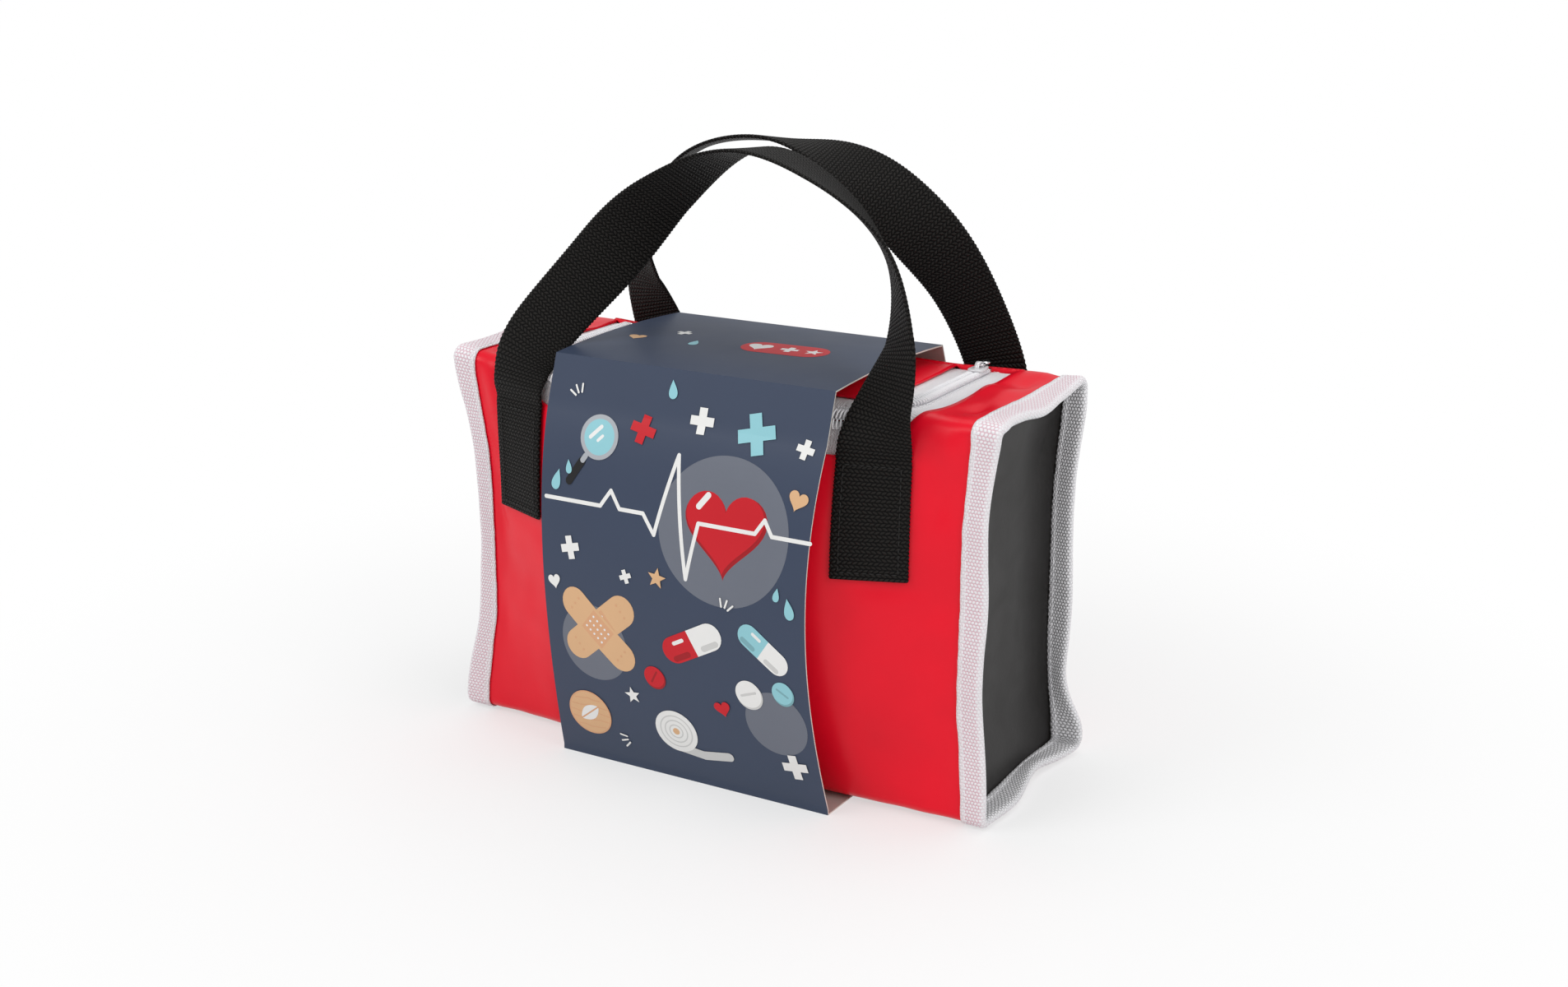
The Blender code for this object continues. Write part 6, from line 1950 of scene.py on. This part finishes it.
def add_lamp(name, place, aim, size, power, tint=(1, 1, 1)):
    data = bpy.data.lights.new(name, "AREA")
    data.shape = "RECTANGLE"
    data.size, data.size_y = size
    data.energy = power
    data.color = tint
    lamp = bpy.data.objects.new(name, data)
    lamp.location = place
    lamp.rotation_mode = "QUATERNION"
    lamp.rotation_quaternion = (Vector(aim) - Vector(place)).to_track_quat("-Z", "Y")
    bpy.context.scene.collection.objects.link(lamp)


def bright_background(tree, plain, camera_share):
    """Shows camera, mirror and glass rays a plain white in place of part of the lit surface."""
    rays = tree.nodes.new("ShaderNodeLightPath").outputs
    seen = maths(tree, "MAXIMUM", rays["Is Camera Ray"],
                 maths(tree, "MAXIMUM", rays["Is Glossy Ray"], rays["Is Transmission Ray"]))
    white = node(tree, "ShaderNodeEmission", {"Color": (1, 1, 1, 1), "Strength": 1.0})
    return node(tree, "ShaderNodeMixShader", {0: maths(tree, "MULTIPLY", seen, camera_share), 1: plain,
                                             2: white.outputs[0]}).outputs[0]


# Stage: floor tone and where its white starts and ends, world light, lamps and camera
FLOOR_TONE, FLOOR_ROUGH, FLOOR_R = 0.86, 0.7, 20
WHITE_START, WHITE_END, WHITE_NEAR = 0.12, 0.45, 0.58
WORLD_LIGHT = 0.55
LAMPS = (
    ("key_left", (-0.9, -1.3, 1.3), (0, 0, 0.12), (1.1, 0.9), 11.5),
    ("fill_right", (1.5, -0.5, 0.9), (0, 0, 0.10), (0.7, 1.1), 7),
    ("top_soft", (0.1, 0.3, 1.6), (0, 0, 0.15), (1.2, 1.0), 8),
)
SENSOR_MM, LENS_MM, CLIP_START = 36, 46.42, 0.01
CAMERA_TURN, CAMERA_RISE, CAMERA_DISTANCE = math.radians(30.32), math.radians(16.93), 0.9113
CAMERA_AIM = (-0.00466, 0.0242, 0.10485)


class CASE_OT_stage(bpy.types.Operator):
    """Sets the pale floor, the soft light and the camera"""
    bl_idname = "doctor_case.stage"
    bl_label = "Stage"

    def execute(self, context):
        self.floor(context.scene)
        self.world(context.scene)
        for lamp in LAMPS:
            add_lamp(*lamp)
        self.camera(context.scene)
        context.scene.view_settings.view_transform = "Standard"
        return {"FINISHED"}

    def floor(self, scene):
        bm = bmesh.new()
        bmesh.ops.create_circle(bm, cap_ends=True, segments=64, radius=FLOOR_R)
        mesh = bpy.data.meshes.new("floor")
        bm.to_mesh(mesh)
        bm.free()
        floor = bpy.data.objects.new("floor", mesh)
        scene.collection.objects.link(floor)
        material = bpy.data.materials.new("floor_white")
        material.use_nodes = True
        tree = material.node_tree
        shader = tree.nodes["Principled BSDF"]
        fill(tree, shader, {"Base Color": (FLOOR_TONE, FLOOR_TONE, FLOOR_TONE, 1), "Roughness": FLOOR_ROUGH})
        place = tree.nodes.new("ShaderNodeTexCoord").outputs["Object"]
        far = node(tree, "ShaderNodeVectorMath", {0: place}, operation="LENGTH").outputs["Value"]
        share = node(tree, "ShaderNodeMapRange", {
            "Value": far, "From Min": WHITE_START, "From Max": WHITE_END, "To Min": WHITE_NEAR, "To Max": 1.0},
            interpolation_type="SMOOTHSTEP").outputs[0]
        fill(tree, tree.nodes["Material Output"], {0: bright_background(tree, shader.outputs[0], share)})
        mesh.materials.append(material)

    def world(self, scene):
        world = bpy.data.worlds.new("studio")
        scene.world = world
        world.use_nodes = True
        tree = world.node_tree
        rays = tree.nodes.new("ShaderNodeLightPath").outputs
        seen = maths(tree, "MAXIMUM", rays["Is Camera Ray"], rays["Is Transmission Ray"])
        fill(tree, tree.nodes["Background"], {0: (1, 1, 1, 1), 1: ranged(tree, seen, WORLD_LIGHT, 1.0)})

    def camera(self, scene):
        data = bpy.data.cameras.new("camera")
        data.sensor_width = SENSOR_MM
        data.lens = LENS_MM
        data.clip_start = CLIP_START
        camera = bpy.data.objects.new("camera", data)
        scene.collection.objects.link(camera)
        level = math.cos(CAMERA_RISE)
        back = Vector((math.sin(CAMERA_TURN) * level, -math.cos(CAMERA_TURN) * level, math.sin(CAMERA_RISE)))
        camera.location = Vector(CAMERA_AIM) + back * CAMERA_DISTANCE
        camera.rotation_mode = "QUATERNION"
        camera.rotation_quaternion = (-back).to_track_quat("-Z", "Y")
        scene.camera = camera


OPERATORS = (CASE_OT_finishes, CASE_OT_body, CASE_OT_lid, CASE_OT_ends, CASE_OT_bindings, CASE_OT_zip,
             CASE_OT_slider, CASE_OT_handles, CASE_OT_sleeve, CASE_OT_print, CASE_OT_tools, CASE_OT_stage)


class CASE_PT_panel(bpy.types.Panel):
    """Lists the steps that build the case, with its sizes and colours"""
    bl_idname = "CASE_PT_panel"
    bl_label = "Doctor case"
    bl_space_type = "VIEW_3D"
    bl_region_type = "UI"
    bl_category = "Doctor case"

    def draw(self, context):
        layout = self.layout
        for operator in OPERATORS:
            layout.operator(operator.bl_idname)
        for group in (context.scene.case_sizes, context.scene.case_colours):
            for name in group.bl_rna.properties.keys():
                if name not in ("rna_type", "name"):
                    layout.prop(group, name)


CLASSES = (CaseSizes, CaseColours, *OPERATORS, CASE_PT_panel)


def register():
    for made in CLASSES:
        bpy.utils.register_class(made)
    bpy.types.Scene.case_sizes = PointerProperty(type=CaseSizes)
    bpy.types.Scene.case_colours = PointerProperty(type=CaseColours)


def unregister():
    del bpy.types.Scene.case_colours
    del bpy.types.Scene.case_sizes
    for made in reversed(CLASSES):
        bpy.utils.unregister_class(made)


def main():
    register()
    for operator in OPERATORS:
        group, name = operator.bl_idname.split(".")
        getattr(getattr(bpy.ops, group), name)()


if __name__ == "__main__":
    main()
